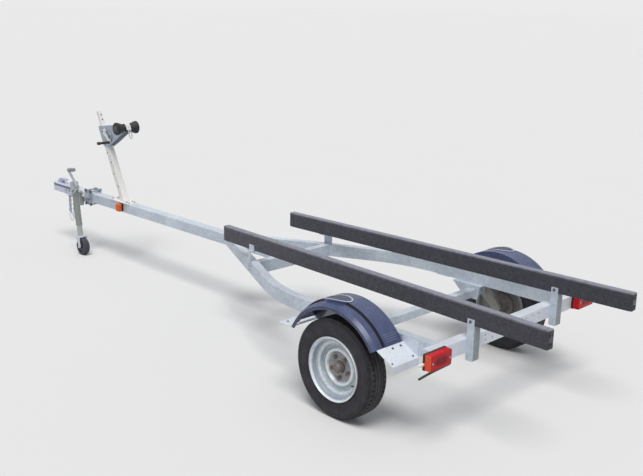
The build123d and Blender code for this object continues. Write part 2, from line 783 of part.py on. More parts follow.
# Front bunk brackets: plate on the rail's outer face, shelf under the bunk and upright beside it
front_bracket_ahead = 1165
front_bracket_width = 46
front_bracket_lap = 34
front_bracket_foot = 62
rail_face_gap_y = rail_width / cos(toe)
front_bracket_x = ahead(front_bracket_ahead)


def rail_face_y(x):
    """Half distance between the rails' outer faces where the rails converge."""
    return rail_inner_y(x) + rail_face_gap_y


for side, sign in SIDES:
    x0 = front_bracket_x - front_bracket_width / 2
    x1 = front_bracket_x + front_bracket_width / 2
    plate_out = bracket_sheet / cos(toe)
    with BuildPart() as front_bracket:
        with BuildSketch(Plane.XY.offset(frame_top - front_bracket_foot)):
            Polygon(
                *on_side(
                    sign,
                    [
                        (x0, rail_face_y(x0)),
                        (x1, rail_face_y(x1)),
                        (x1, rail_face_y(x1) + plate_out),
                        (x0, rail_face_y(x0) + plate_out),
                    ],
                ),
                align=None,
            )
        extrude(amount=bunk_bottom - seat_gap - frame_top + front_bracket_foot)
        with BuildSketch(Plane.XY.offset(bunk_bottom - seat_gap)):
            Polygon(
                *on_side(
                    sign,
                    [
                        (x0, bunk_outer_y(x0) - bunk_thickness + 4),
                        (x1, bunk_outer_y(x1) - bunk_thickness + 4),
                        (x1, max(rail_face_y(x1), bunk_outer_y(x1)) + plate_out),
                        (x0, rail_face_y(x0) + plate_out),
                    ],
                ),
                align=None,
            )
        extrude(amount=-bracket_sheet)
        with BuildSketch(Plane.XY.offset(bunk_bottom - bracket_sheet)):
            Polygon(
                *on_side(
                    sign,
                    [
                        (x0, bunk_outer_y(x0) + seat_gap),
                        (x1, bunk_outer_y(x1) + seat_gap),
                        (x1, bunk_outer_y(x1) + seat_gap + bracket_sheet),
                        (x0, bunk_outer_y(x0) + seat_gap + bracket_sheet),
                    ],
                ),
                align=None,
            )
        extrude(amount=front_bracket_lap + bracket_sheet)
    front_bracket.part.label = f"{side}_front_bunk_bracket"
    export_step(front_bracket.part, f"parts/{side}_front_bunk_bracket.step")

# Winch stand: base plate on the tongue and a post in two sizes leaning forward
base_plate_length = 280
base_plate_width = 92
base_plate_sheet = 6
base_plate_shift = 20
lean = radians(post_lean)
post_foot = Vector(ahead(post_base_ahead), 0, frame_top + base_plate_sheet)
post_up = Vector(sin(lean), 0, cos(lean))
post_sink = 40
post_cap_sheet = 5
post_corner = 5
post_bore = post_size - 2 * post_wall
post_top = post_foot + post_up * post_lower_length
mast_corner = 4
mast_bore = post_upper_size - 2 * mast_wall
mast_hole = post_upper_size + 2 * seat_gap
with BuildPart() as winch_post:
    with BuildSketch(Plane(origin=post_foot - post_up * post_sink, x_dir=(0, 1, 0), z_dir=post_up)):
        RectangleRounded(post_size, post_size, post_corner)
        RectangleRounded(post_bore, post_bore, post_corner - post_wall / 2, mode=Mode.SUBTRACT)
    extrude(amount=post_sink + post_lower_length)
    split(bisect_by=Plane.XY.offset(post_foot.Z), keep=Keep.TOP)
    with BuildSketch(Plane(origin=post_top, x_dir=(0, 1, 0), z_dir=post_up)):
        RectangleRounded(post_size, post_size, post_corner)
        RectangleRounded(mast_hole, mast_hole, mast_corner, mode=Mode.SUBTRACT)
    extrude(amount=post_cap_sheet)
    with BuildSketch(Plane.XY.offset(frame_top)):
        with Locations((post_foot.X + base_plate_shift, 0)):
            RectangleRounded(base_plate_length, base_plate_width, 8)
    extrude(amount=base_plate_sheet)
winch_post.part.label = "winch_post"
export_step(winch_post.part, "parts/winch_post.step")

mast_foot = post_foot + post_up * (post_lower_length - mast_lap)
mast_length = (mast_top_z - mast_foot.Z) / cos(lean)
with BuildPart() as winch_mast:
    with BuildSketch(Plane(origin=mast_foot, x_dir=(0, 1, 0), z_dir=post_up)):
        RectangleRounded(post_upper_size, post_upper_size, mast_corner)
        RectangleRounded(mast_bore, mast_bore, mast_corner - mast_wall / 2, mode=Mode.SUBTRACT)
    extrude(amount=mast_length)
winch_mast.part.label = "winch_mast"
export_step(winch_mast.part, "parts/winch_mast.step")


def post_x(z):
    """X of the post's centre line at a height."""
    return post_foot.X + (z - post_foot.Z) * tan(lean)


# Winch bracket: two side plates clasping the post and reaching back to the bow stop
plate_sheet = 4
plate_inner_y = post_size / 2 + seat_gap
winch_plate_top_z = 1060
winch_plate_foot_z = 908
winch_plate_reach = 28
winch_plate_end = 24
plate_belly = 46
plate_corner = 12
cross_bar_thickness = 12
cross_bar_length = 34
cross_bar_rise = 25
cross_bar_gap = 2
bow_stop_ahead = 3050
bow_stop_z = 1080
bow_stop_shaft_radius = 10
crank_shaft_ahead = 3300
crank_shaft_z = 1036
drum_ahead = 3252
drum_z = 994
drum_shaft_radius = 9
bow_stop_x = ahead(bow_stop_ahead)
crank_shaft_x = ahead(crank_shaft_ahead)
drum_x = ahead(drum_ahead)
bore_clearance = 0.3
cross_bar_z = winch_plate_foot_z + cross_bar_rise
cross_bar_x = post_x(cross_bar_z) - post_size / 2 / cos(lean) - cross_bar_thickness / 2 - cross_bar_gap
with BuildPart() as winch_bracket:
    for sign in (1, -1):
        with BuildSketch(Plane.XZ.offset(-sign * plate_inner_y)):
            with BuildLine():
                FilletPolyline(
                    (post_x(winch_plate_top_z) + winch_plate_reach, winch_plate_top_z),
                    (bow_stop_x - winch_plate_end, bow_stop_z + winch_plate_end),
                    (bow_stop_x - winch_plate_end, bow_stop_z - winch_plate_end),
                    (drum_x - plate_belly, drum_z - plate_belly),
                    (post_x(winch_plate_foot_z) - winch_plate_reach, winch_plate_foot_z),
                    (post_x(winch_plate_foot_z) + winch_plate_reach, winch_plate_foot_z),
                    radius=plate_corner,
                    close=True,
                )
            make_face()
            with Locations((crank_shaft_x, crank_shaft_z), (drum_x, drum_z)):
                Circle(drum_shaft_radius + bore_clearance, mode=Mode.SUBTRACT)
            with Locations((bow_stop_x, bow_stop_z)):
                Circle(bow_stop_shaft_radius + seat_gap, mode=Mode.SUBTRACT)
        extrude(amount=-sign * plate_sheet)
    with BuildSketch(Plane.XZ.offset(-plate_inner_y)):
        with Locations((cross_bar_x, cross_bar_z)):
            Rectangle(cross_bar_thickness, cross_bar_length, rotation=-post_lean)
    extrude(amount=2 * plate_inner_y)
winch_bracket.part.label = "winch_bracket"
export_step(winch_bracket.part, "parts/winch_bracket.step")

# Bow stop: rubber cones on a shaft through the side plates, with a roller between them for the strap
cone_outer_y = 93
cone_outer_radius = 47
cone_inner_radius = 31
cone_shoulder = 16
middle_roller_half = 24
middle_roller_radius = 33
shaft_overrun = 8
with BuildPart() as bow_stop_shaft:
    with BuildSketch(Plane.XZ.offset(-cone_outer_y - shaft_overrun)):
        with Locations((bow_stop_x, bow_stop_z)):
            Circle(bow_stop_shaft_radius)
    extrude(amount=2 * (cone_outer_y + shaft_overrun))
bow_stop_shaft.part.label = "bow_stop_shaft"
export_step(bow_stop_shaft.part, "parts/bow_stop_shaft.step")

bow_stop_axis = Axis((bow_stop_x, 0, bow_stop_z), (0, 1, 0))
cone_inner_y = plate_inner_y + plate_sheet + seat_gap
with BuildPart() as bow_stop:
    for sign in (1, -1):
        bow_stop_centre = (bow_stop_x, 0, bow_stop_z)
        with BuildSketch(Plane(origin=bow_stop_centre, x_dir=(0, sign, 0), z_dir=(sign, 0, 0))):
            with BuildLine():
                Polyline(
                    (cone_inner_y, bow_stop_shaft_radius),
                    (cone_inner_y, cone_inner_radius),
                    (cone_outer_y - cone_shoulder, cone_outer_radius),
                    (cone_outer_y - 4, cone_outer_radius),
                    (cone_outer_y, cone_outer_radius - 6),
                    (cone_outer_y, bow_stop_shaft_radius),
                    close=True,
                )
            make_face()
        revolve(axis=bow_stop_axis)
    with BuildSketch(Plane.XZ.offset(-middle_roller_half)):
        with Locations((bow_stop_x, bow_stop_z)):
            Circle(middle_roller_radius)
            Circle(bow_stop_shaft_radius, mode=Mode.SUBTRACT)
    extrude(amount=2 * middle_roller_half)
bow_stop.part.label = "bow_stop"
export_step(bow_stop.part, "parts/bow_stop.step")

# Winch drum: shaft, flanges and gear wheel; its strap is wound on it
drum_half_width = plate_inner_y - 2
drum_flange_radius = 40
drum_core_radius = 16
drum_flange_sheet = 2.5
strap_roll_radius = 33
gear_radius = 44
pinion_radius = hypot(crank_shaft_x - drum_x, crank_shaft_z - drum_z) - gear_radius - 1.5
gear_face = 9
gear_inner_y = plate_inner_y + plate_sheet + 1.5
drum_axis = Axis((drum_x, 0, drum_z), (0, 1, 0))
drum_profile = Plane(origin=(drum_x, 0, drum_z), x_dir=(0, 1, 0), z_dir=(1, 0, 0))
with BuildPart() as winch_drum:
    with BuildSketch(drum_profile):
        with BuildLine():
            Polyline(
                (-plate_inner_y - plate_sheet - 6, 0),
                (-plate_inner_y - plate_sheet - 6, drum_shaft_radius),
                (-drum_half_width, drum_shaft_radius),
                (-drum_half_width, drum_flange_radius),
                (-drum_half_width + drum_flange_sheet, drum_flange_radius),
                (-drum_half_width + drum_flange_sheet, drum_core_radius),
                (drum_half_width - drum_flange_sheet, drum_core_radius),
                (drum_half_width - drum_flange_sheet, drum_flange_radius),
                (drum_half_width, drum_flange_radius),
                (drum_half_width, drum_shaft_radius),
                (gear_inner_y, drum_shaft_radius),
                (gear_inner_y, gear_radius),
                (gear_inner_y + gear_face, gear_radius),
                (gear_inner_y + gear_face, drum_shaft_radius),
                (gear_inner_y + gear_face + 5, drum_shaft_radius),
                (gear_inner_y + gear_face + 5, 0),
                close=True,
            )
        make_face()
    revolve(axis=drum_axis)
winch_drum.part.label = "winch_drum"
export_step(winch_drum.part, "parts/winch_drum.step")

strap_half_width = drum_half_width - drum_flange_sheet - 1
with BuildPart() as winch_strap_roll:
    with BuildSketch(drum_profile):
        Polygon(
            (-strap_half_width, drum_core_radius),
            (-strap_half_width, strap_roll_radius),
            (strap_half_width, strap_roll_radius),
            (strap_half_width, drum_core_radius),
            align=None,
        )
    revolve(axis=drum_axis)
winch_strap_roll.part.label = "winch_strap_roll"
export_step(winch_strap_roll.part, "parts/winch_strap_roll.step")

# Winch crank: pinion shaft, arm and grip on the left side
crank_arm_length = 130
crank_arm_angle = 217
crank_arm_y = gear_inner_y + gear_face + 16
crank_arm_sheet = 6
crank_arm_width = 13
crank_hub_radius = 13
grip_length = 108
grip_radius = 12.5
grip_waist = 9.5
grip_collar = 8
grip_knob = 14
crank_tip = (
    crank_shaft_x + crank_arm_length * cos(radians(crank_arm_angle)),
    crank_shaft_z + crank_arm_length * sin(radians(crank_arm_angle)),
)
with BuildPart() as winch_crank:
    with BuildSketch(Plane.XZ.offset(plate_inner_y + plate_sheet + 6)):
        with Locations((crank_shaft_x, crank_shaft_z)):
            Circle(drum_shaft_radius)
    extrude(amount=-(plate_inner_y + plate_sheet + 6 + crank_arm_y + crank_arm_sheet + 5))
    with BuildSketch(Plane.XZ.offset(-gear_inner_y)):
        with Locations((crank_shaft_x, crank_shaft_z)):
            Circle(pinion_radius)
    extrude(amount=-gear_face)
    with BuildSketch(Plane.XZ.offset(-crank_arm_y)):
        with Locations((crank_shaft_x, crank_shaft_z)):
            Circle(crank_hub_radius)
        with Locations(crank_tip):
            Circle(crank_arm_width / 2)
        make_hull()
    extrude(amount=-crank_arm_sheet)
winch_crank.part.label = "winch_crank"
export_step(winch_crank.part, "parts/winch_crank.step")

grip_inner_y = crank_arm_y + crank_arm_sheet
with BuildPart() as winch_grip:
    with BuildSketch(Plane(origin=(crank_tip[0], 0, crank_tip[1]), x_dir=(0, 1, 0), z_dir=(1, 0, 0))):
        with BuildLine():
            Polyline(
                (grip_inner_y, 0),
                (grip_inner_y, grip_waist),
                (grip_inner_y + grip_collar, grip_radius),
                (grip_inner_y + 2 * grip_collar, grip_waist),
                (grip_inner_y + grip_length - 2 * grip_knob, grip_waist),
                (grip_inner_y + grip_length - 1.5 * grip_knob, grip_radius),
                (grip_inner_y + grip_length - grip_knob / 2, grip_radius),
                (grip_inner_y + grip_length, grip_waist),
                (grip_inner_y + grip_length, 0),
                close=True,
            )
        make_face()
    revolve(axis=Axis((crank_tip[0], 0, crank_tip[1]), (0, 1, 0)))
winch_grip.part.label = "winch_grip"
export_step(winch_grip.part, "parts/winch_grip.step")

# Strap: from the top of the roll over the middle roller, ending in its hook
strap_sheet = 2
strap_width = 2 * strap_half_width
strap_leave_angle = 155
strap_tail = 26
roll_reach = strap_roll_radius + seat_gap + strap_sheet / 2
roller_reach = middle_roller_radius + seat_gap + strap_sheet / 2
run = hypot(bow_stop_x - drum_x, bow_stop_z - drum_z)
run_angle = atan2(bow_stop_z - drum_z, bow_stop_x - drum_x)
normal = run_angle - pi / 2 + asin((roll_reach - roller_reach) / run)
leave = radians(strap_leave_angle)
strap_end = (
    bow_stop_x + roller_reach * cos(leave) - strap_tail * sin(leave),
    bow_stop_z + roller_reach * sin(leave) + strap_tail * cos(leave),
)
middle = (normal + leave) / 2
with BuildPart() as winch_strap:
    with BuildSketch(Plane.XZ.offset(-strap_width / 2)):
        with BuildLine():
            pull = Line(
                (drum_x + roll_reach * cos(normal), drum_z + roll_reach * sin(normal)),
                (bow_stop_x + roller_reach * cos(normal), bow_stop_z + roller_reach * sin(normal)),
            )
            wrap = ThreePointArc(
                pull @ 1,
                (bow_stop_x + roller_reach * cos(middle), bow_stop_z + roller_reach * sin(middle)),
                (bow_stop_x + roller_reach * cos(leave), bow_stop_z + roller_reach * sin(leave)),
            )
            Line(wrap @ 1, strap_end)
        trace(line_width=strap_sheet)
    extrude(amount=strap_width)
winch_strap.part.label = "winch_strap"
export_step(winch_strap.part, "parts/winch_strap.step")

# Winch hook: wire loop at the strap's end
winch_hook_wire = 4
winch_hook_bend = 11
winch_hook_straight = 42
winch_hook_reach = winch_hook_bend + winch_hook_straight / 2 + winch_hook_wire + seat_gap
winch_hook_centre = (
    strap_end[0] - winch_hook_reach * sin(leave),
    0,
    strap_end[1] + winch_hook_reach * cos(leave),
)
winch_hook_path = wire_loop(
    winch_hook_centre,
    (0, 1, 0),
    (cos(leave), 0, sin(leave)),
    winch_hook_bend,
    winch_hook_straight,
)
with BuildPart() as winch_hook:
    with BuildSketch(Plane(origin=winch_hook_path @ 0, z_dir=winch_hook_path % 0)):
        RegularPolygon(winch_hook_wire, 8)
    sweep(path=winch_hook_path, transition=Transition.RIGHT)
winch_hook.part.label = "winch_hook"
export_step(winch_hook.part, "parts/winch_hook.step")

# Jack frame: its pivot beside the tongue and the directions along and behind its leaning tube
jack_angle = radians(jack_lean)
jack_pivot = Vector(ahead(jack_ahead), jack_y, jack_pivot_z)
jack_up = Vector(sin(jack_angle), 0, cos(jack_angle))
jack_back = Vector(-cos(jack_angle), 0, sin(jack_angle))


def jack_point(up, back, out):
    """A point on the leaning jack: up along its tube, behind it and outwards from it."""
    return jack_pivot + jack_up * up + jack_back * back + Vector(0, out, 0)


# Jack mount: plate on the tongue's left side with the swivel's fixed half
jack_plate_length = 104
jack_plate_overlap = 25
jack_plate_sheet = 8
clamp_bolt_radius = 6
clamp_bolt_inset = 15
clamp_bolt_clearance = 10
clamp_bolt_end = 14
swivel_radius = 36
swivel_sheet = 7
swivel_boss_radius = 26
swivel_face_y = 104
swivel_pin_radius = 12
with BuildPart() as jack_mount:
    with BuildSketch(Plane.XZ.offset(-tongue_side_y)):
        with Locations((jack_pivot.X, tongue_mid_z)):
            RectangleRounded(jack_plate_length, tongue_size + 2 * jack_plate_overlap, 8)
    extrude(amount=-jack_plate_sheet)
    with BuildSketch(Plane.XZ.offset(tongue_side_y)):
        with Locations((jack_pivot.X, tongue_mid_z)):
            RectangleRounded(jack_plate_length, tongue_size + 2 * jack_plate_overlap, 8)
    extrude(amount=jack_plate_sheet)
    with BuildSketch(Plane.XZ.offset(-tongue_side_y - clamp_bolt_end)):
        with Locations((jack_pivot.X, tongue_mid_z)):
            with GridLocations(
                jack_plate_length - 2 * clamp_bolt_inset,
                tongue_size + 2 * clamp_bolt_clearance + 2 * clamp_bolt_radius,
                2,
                2,
            ):
                Circle(clamp_bolt_radius)
    extrude(amount=2 * (tongue_side_y + clamp_bolt_end))
    with BuildSketch(Plane.XZ.offset(-tongue_side_y)):
        with Locations((jack_pivot.X, jack_pivot_z)):
            Circle(swivel_boss_radius)
    extrude(amount=-(swivel_face_y - tongue_side_y))
    with BuildSketch(Plane.XZ.offset(-(swivel_face_y - swivel_sheet))):
        with Locations((jack_pivot.X, jack_pivot_z)):
            Circle(swivel_radius)
    extrude(amount=-swivel_sheet)
    with BuildSketch(Plane.XZ.offset(-swivel_face_y)):
        with Locations((jack_pivot.X, jack_pivot_z)):
            Circle(swivel_pin_radius)
    extrude(amount=-swivel_sheet)
jack_mount.part.label = "jack_mount"
export_step(jack_mount.part, "parts/jack_mount.step")

# Jack tube: outer tube with the swivel's turning half and the saddle between them
jack_tube_bottom = -214
jack_tube_top = 129
jack_tube_bore = jack_leg_radius + jack_leg_clearance
saddle_height = 110
saddle_width = 44
swivel_gap = 0.5
saddle_origin = jack_point(0, 0, swivel_face_y + swivel_gap - jack_y)
saddle_plane = Plane(origin=saddle_origin, x_dir=jack_up, z_dir=(0, 1, 0))
with BuildPart() as jack_tube:
    with BuildSketch(saddle_plane):
        Circle(swivel_radius)
    extrude(amount=swivel_sheet)
    with BuildSketch(saddle_plane):
        RectangleRounded(saddle_height, saddle_width, 8)
    extrude(amount=jack_y - swivel_face_y - swivel_gap)
    with BuildSketch(saddle_plane):
        Circle(swivel_pin_radius + swivel_gap)
    extrude(amount=swivel_sheet + 1, mode=Mode.SUBTRACT)
    with BuildSketch(Plane(origin=jack_point(jack_tube_bottom, 0, 0), x_dir=(0, 1, 0), z_dir=jack_up)):
        Circle(jack_tube_radius)
    extrude(amount=jack_tube_top - jack_tube_bottom)
    with BuildSketch(Plane(origin=jack_point(jack_tube_bottom, 0, 0), x_dir=(0, 1, 0), z_dir=jack_up)):
        Circle(jack_tube_bore)
    extrude(amount=jack_tube_top - jack_tube_bottom, mode=Mode.SUBTRACT)
jack_tube.part.label = "jack_tube"
export_step(jack_tube.part, "parts/jack_tube.step")

# Jack gearbox: cover over the tube's top with the crank shaft's boss to the rear
gearbox_bottom = 78
gearbox_top = 146
gearbox_width = 56
jack_shaft_up = 102
jack_shaft_boss = 14
jack_boss_radius = 18
gearbox_corner = 14
gearbox_edge_radius = 10
with BuildPart() as jack_gearbox:
    with BuildSketch(Plane(origin=jack_point(gearbox_bottom, 0, 0), x_dir=(0, 1, 0), z_dir=jack_up)):
        RectangleRounded(gearbox_width, gearbox_width, gearbox_corner)
    extrude(amount=gearbox_top - gearbox_bottom)
    top_edges = jack_gearbox.edges().group_by(Axis(tuple(jack_pivot), tuple(jack_up)))[-1]
    fillet(top_edges, radius=gearbox_edge_radius)
    boss_origin = jack_point(jack_shaft_up, gearbox_width / 2, 0)
    with BuildSketch(Plane(origin=boss_origin, x_dir=(0, 1, 0), z_dir=jack_back)):
        Circle(jack_boss_radius)
    extrude(amount=jack_shaft_boss)
    with BuildSketch(Plane(origin=jack_point(gearbox_bottom, 0, 0), x_dir=(0, 1, 0), z_dir=jack_up)):
        Circle(jack_tube_radius + seat_gap)
    extrude(amount=jack_tube_top + seat_gap - gearbox_bottom, mode=Mode.SUBTRACT)
jack_gearbox.part.label = "jack_gearbox"
export_step(jack_gearbox.part, "parts/jack_gearbox.step")

# Jack crank: arm leaning outwards behind the gearbox, with its grip
jack_arm_length = 158
jack_arm_angle = radians(22.7)
jack_arm_width = 20
jack_arm_sheet = 6
jack_arm_back = gearbox_width / 2 + jack_shaft_boss + seat_gap
jack_grip_length = 95
jack_grip_radius = 14
jack_grip_edge = 4
jack_arm_tip = (jack_arm_length * sin(jack_arm_angle), jack_arm_length * cos(jack_arm_angle))
jack_arm_origin = jack_point(jack_shaft_up, jack_arm_back, 0)
jack_arm_plane = Plane(origin=jack_arm_origin, x_dir=(0, 1, 0), z_dir=-jack_back)
with BuildPart() as jack_crank:
    with BuildSketch(jack_arm_plane):
        with Locations((0, 0), jack_arm_tip):
            Circle(jack_arm_width / 2)
        make_hull()
    extrude(amount=-jack_arm_sheet)
jack_crank.part.label = "jack_crank"
export_step(jack_crank.part, "parts/jack_crank.step")

jack_grip_centre = jack_point(
    jack_shaft_up + jack_arm_tip[1],
    jack_arm_back + jack_arm_sheet,
    jack_arm_tip[0],
)
with BuildPart() as jack_grip:
    with BuildSketch(Plane(origin=jack_grip_centre, x_dir=(0, 1, 0), z_dir=jack_back)):
        Circle(jack_grip_radius)
    extrude(amount=jack_grip_length)
    fillet(jack_grip.edges(), radius=jack_grip_edge)
jack_grip.part.label = "jack_grip"
export_step(jack_grip.part, "parts/jack_grip.step")

# Jack leg: inner tube sliding in the outer one
wheel_up = -(jack_pivot_z - jack_wheel_radius + jack_trail * sin(jack_angle)) / cos(jack_angle)
fork_gap = 15
fork_top = wheel_up + jack_wheel_radius + fork_gap
fork_sheet = 6
fork_plate_length = 66
fork_plate_shift = 10
fork_plate_corner = 6
cheek_top_length = 56
cheek_foot_radius = 13
cheek_gap = 5.5
pin_overrun = 5
leg_top = -4
leg_wall = 3
with BuildPart() as jack_leg:
    leg_origin = jack_point(fork_top + seat_gap, 0, 0)
    with BuildSketch(Plane(origin=leg_origin, x_dir=(0, 1, 0), z_dir=jack_up)):
        Circle(jack_leg_radius)
        Circle(jack_leg_radius - leg_wall, mode=Mode.SUBTRACT)
    extrude(amount=leg_top - fork_top - seat_gap)
jack_leg.part.label = "jack_leg"
export_step(jack_leg.part, "parts/jack_leg.step")

# Jack fork: top plate, two cheeks and the wheel's pin, turning under the leg
cheek_inner = jack_wheel_width / 2 + cheek_gap
cheek_sheet = 4
cheek_outer = cheek_inner + cheek_sheet
fork_pin_radius = 6
with BuildPart() as jack_fork:
    fork_origin = jack_point(fork_top, fork_plate_shift, 0)
    with BuildSketch(Plane(origin=fork_origin, x_dir=(0, 1, 0), z_dir=-jack_up)):
        RectangleRounded(2 * cheek_outer, fork_plate_length, fork_plate_corner)
    extrude(amount=fork_sheet)
    for out in (cheek_inner, -cheek_outer):
        with BuildSketch(Plane(origin=jack_point(fork_top, 0, out), x_dir=-jack_back, z_dir=(0, -1, 0))):
            with Locations((-fork_plate_shift, -fork_sheet / 2)):
                Rectangle(cheek_top_length, fork_sheet)
            with Locations((-jack_trail, wheel_up - fork_top)):
                Circle(cheek_foot_radius)
            make_hull()
        extrude(amount=-cheek_sheet)
    pin_origin = jack_point(wheel_up, jack_trail, -cheek_outer - pin_overrun)
    with BuildSketch(Plane(origin=pin_origin, x_dir=jack_up, z_dir=(0, 1, 0))):
        Circle(fork_pin_radius)
    extrude(amount=2 * (cheek_outer + pin_overrun))
jack_fork.part.label = "jack_fork"
export_step(jack_fork.part, "parts/jack_fork.step")

# Jack wheel: solid tyre and hub
jack_wheel_centre = jack_point(wheel_up, jack_trail, 0)
jack_wheel_half = jack_wheel_width / 2
hub_half = cheek_inner - 1
jack_hub_radius = 15
jack_web_half = 8
jack_web_inner = 18
jack_web_outer = 48
jack_tread_inner = 52
jack_tread_round = 8
with BuildPart() as jack_wheel:
    with BuildSketch(Plane(origin=jack_wheel_centre, x_dir=(0, 1, 0), z_dir=(1, 0, 0))):
        with BuildLine():
            Polyline(
                (-hub_half, fork_pin_radius + seat_gap),
                (-hub_half, jack_hub_radius),
                (-jack_web_half, jack_web_inner),
                (-jack_web_half, jack_web_outer),
                (-jack_wheel_half, jack_tread_inner),
                (-jack_wheel_half, jack_wheel_radius - jack_tread_round),
                (-jack_wheel_half + jack_tread_round, jack_wheel_radius),
                (jack_wheel_half - jack_tread_round, jack_wheel_radius),
                (jack_wheel_half, jack_wheel_radius - jack_tread_round),
                (jack_wheel_half, jack_tread_inner),
                (jack_web_half, jack_web_outer),
                (jack_web_half, jack_web_inner),
                (hub_half, jack_hub_radius),
                (hub_half, fork_pin_radius + seat_gap),
                close=True,
            )
        make_face()
    revolve(axis=Axis(tuple(jack_wheel_centre), (0, 1, 0)))
jack_wheel.part.label = "jack_wheel"
export_step(jack_wheel.part, "parts/jack_wheel.step")
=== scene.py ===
"""Looks of the boat trailer: finishes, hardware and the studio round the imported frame."""

import logging
import math
from dataclasses import dataclass
from functools import cache
from typing import Callable, Sequence

import bpy
from mathutils import Matrix, Vector


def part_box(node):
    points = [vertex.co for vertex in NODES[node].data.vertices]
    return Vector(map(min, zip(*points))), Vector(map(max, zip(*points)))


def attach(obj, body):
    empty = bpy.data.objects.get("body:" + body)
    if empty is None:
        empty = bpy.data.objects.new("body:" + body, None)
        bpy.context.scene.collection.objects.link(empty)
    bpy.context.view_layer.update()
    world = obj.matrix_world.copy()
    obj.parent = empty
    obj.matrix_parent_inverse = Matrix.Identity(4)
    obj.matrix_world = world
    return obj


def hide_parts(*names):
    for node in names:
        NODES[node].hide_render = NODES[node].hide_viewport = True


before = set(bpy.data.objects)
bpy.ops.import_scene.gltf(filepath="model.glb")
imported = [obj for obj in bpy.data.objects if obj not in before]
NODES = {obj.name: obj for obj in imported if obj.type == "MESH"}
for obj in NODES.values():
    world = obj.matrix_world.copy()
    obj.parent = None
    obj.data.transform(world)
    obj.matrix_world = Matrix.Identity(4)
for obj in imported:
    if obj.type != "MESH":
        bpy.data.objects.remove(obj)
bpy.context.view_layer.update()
LOG = logging.getLogger("trailer")

Point = tuple[float, float, float]
Colour = tuple[float, float, float]
Pair = tuple[float, float]
Section = tuple[Pair, ...]
Piece = bpy.types.Object
Face = bpy.types.MeshPolygon
Material = bpy.types.Material
Node = bpy.types.Node
Socket = bpy.types.NodeSocket
Tree = bpy.types.NodeTree

SIDES = (("left", 1), ("right", -1))
MM = 0.001
UP = Vector((0, 0, 1))

# Angles beyond which edges stay sharp or are rounded, and the distance within which points are merged
CREASE = math.radians(35)
SPUN_CREASE = math.radians(32)
ROD_CREASE = math.radians(50)
ROUNDED_FROM = math.radians(40)
MERGE_REACH = 1e-6

# Range of a noise that is spread over 0 to 1
NOISE_SPREAD = (0.35, 0.65)


# Shader building

class Graph:
    """Adds and links shader nodes in one tree."""

    def __init__(self, tree: Tree) -> None:
        """Keeps the tree that nodes are added to."""
        self.tree = tree

    def add(self, kind: str, settings: dict | None = None, **inputs: object) -> Node:
        """Adds a node and sets or links its inputs.

        Args:
            kind: Shader node type without its ShaderNode prefix.
            settings: Node attributes to set.
            inputs: Input names, with underscores for spaces, and their values or sockets.

        Returns:
            The new node.
        """
        node = self.tree.nodes.new("ShaderNode" + kind)
        for name, value in (settings or {}).items():
            setattr(node, name, value)
        for name, value in inputs.items():
            self.feed(node, name.replace("_", " "), value)
        return node

    def feed(self, node: Node, name: str | int, value: object) -> None:
        """Sets an input of a node, or links a socket to it.

        Args:
            node: Node that has the input.
            name: The input's name or number.
            value: A number, colour, vector or output socket.
        """
        socket = node.inputs[name]
        if isinstance(value, Socket):
            self.tree.links.new(value, socket)
        elif socket.type == "RGBA" and len(value) == 3:
            socket.default_value = (*value, 1.0)
        else:
            socket.default_value = value

    def math(self, operation: str, *values: object) -> Socket:
        """Adds a Math node and gives its result.

        Args:
            operation: Blender's name of the operation.
            values: Numbers or sockets, in order.

        Returns:
            The result socket.
        """
        node = self.add("Math", {"operation": operation})
        for number, value in enumerate(values):
            self.feed(node, number, value)
        return node.outputs[0]

    def blend(self, factor: object, first: object, second: object) -> Socket:
        """Mixes two colours.

        Args:
            factor: Share of the second colour.
            first: Colour at factor 0.
            second: Colour at factor 1.

        Returns:
            The mixed colour.
        """
        node = self.tree.nodes.new("ShaderNodeMix")
        node.data_type = "RGBA"
        self.feed(node, 0, factor)
        self.feed(node, 6, first)
        self.feed(node, 7, second)
        return node.outputs[2]

    def times(self, first: object, second: object) -> Socket:
        """Product of two values."""
        return self.math("MULTIPLY", first, second)

    def part(self, vector: Socket, number: int) -> Socket:
        """One part of a vector: 0 is X, 1 is Y and 2 is Z."""
        return self.add("SeparateXYZ", Vector=vector).outputs[number]

    def range(self, value: object, low: float, high: float, to_low: float = 0.0,
              to_high: float = 1.0) -> Socket:
        """Maps a value from one range to another, held at its ends.

        Args:
            value: Socket to map.
            low: Start of the range read.
            high: End of the range read.
            to_low: Result at the start.
            to_high: Result at the end.

        Returns:
            The mapped value's socket.
        """
        node = self.add("MapRange", {"clamp": True})
        for number, given in enumerate((value, low, high, to_low, to_high)):
            self.feed(node, number, given)
        return node.outputs[0]


class Effect(Graph):
    """Graph of a node group, which several materials share."""

    def __init__(self, name: str, inputs: Sequence[tuple[str, str, object]], outputs: Sequence[str]) -> None:
        """Adds the group, its sockets and the nodes that hold them.

        Args:
            name: Name of the group.
            inputs: Rows of name, kind and default value.
            outputs: Names of the results, which are numbers.
        """
        super().__init__(bpy.data.node_groups.new(name, "ShaderNodeTree"))
        for label, kind, default in inputs:
            socket = self.tree.interface.new_socket(label, in_out="INPUT", socket_type="NodeSocket" + kind)
            if default is not None:
                socket.default_value = default
        for label in outputs:
            self.tree.interface.new_socket(label, in_out="OUTPUT", socket_type="NodeSocketFloat")
        self.entry = self.tree.nodes.new("NodeGroupInput")
        self.exit = self.tree.nodes.new("NodeGroupOutput")

    def given(self, name: str) -> Socket:
        """Value that a material gives to the group."""
        return self.entry.outputs[name]


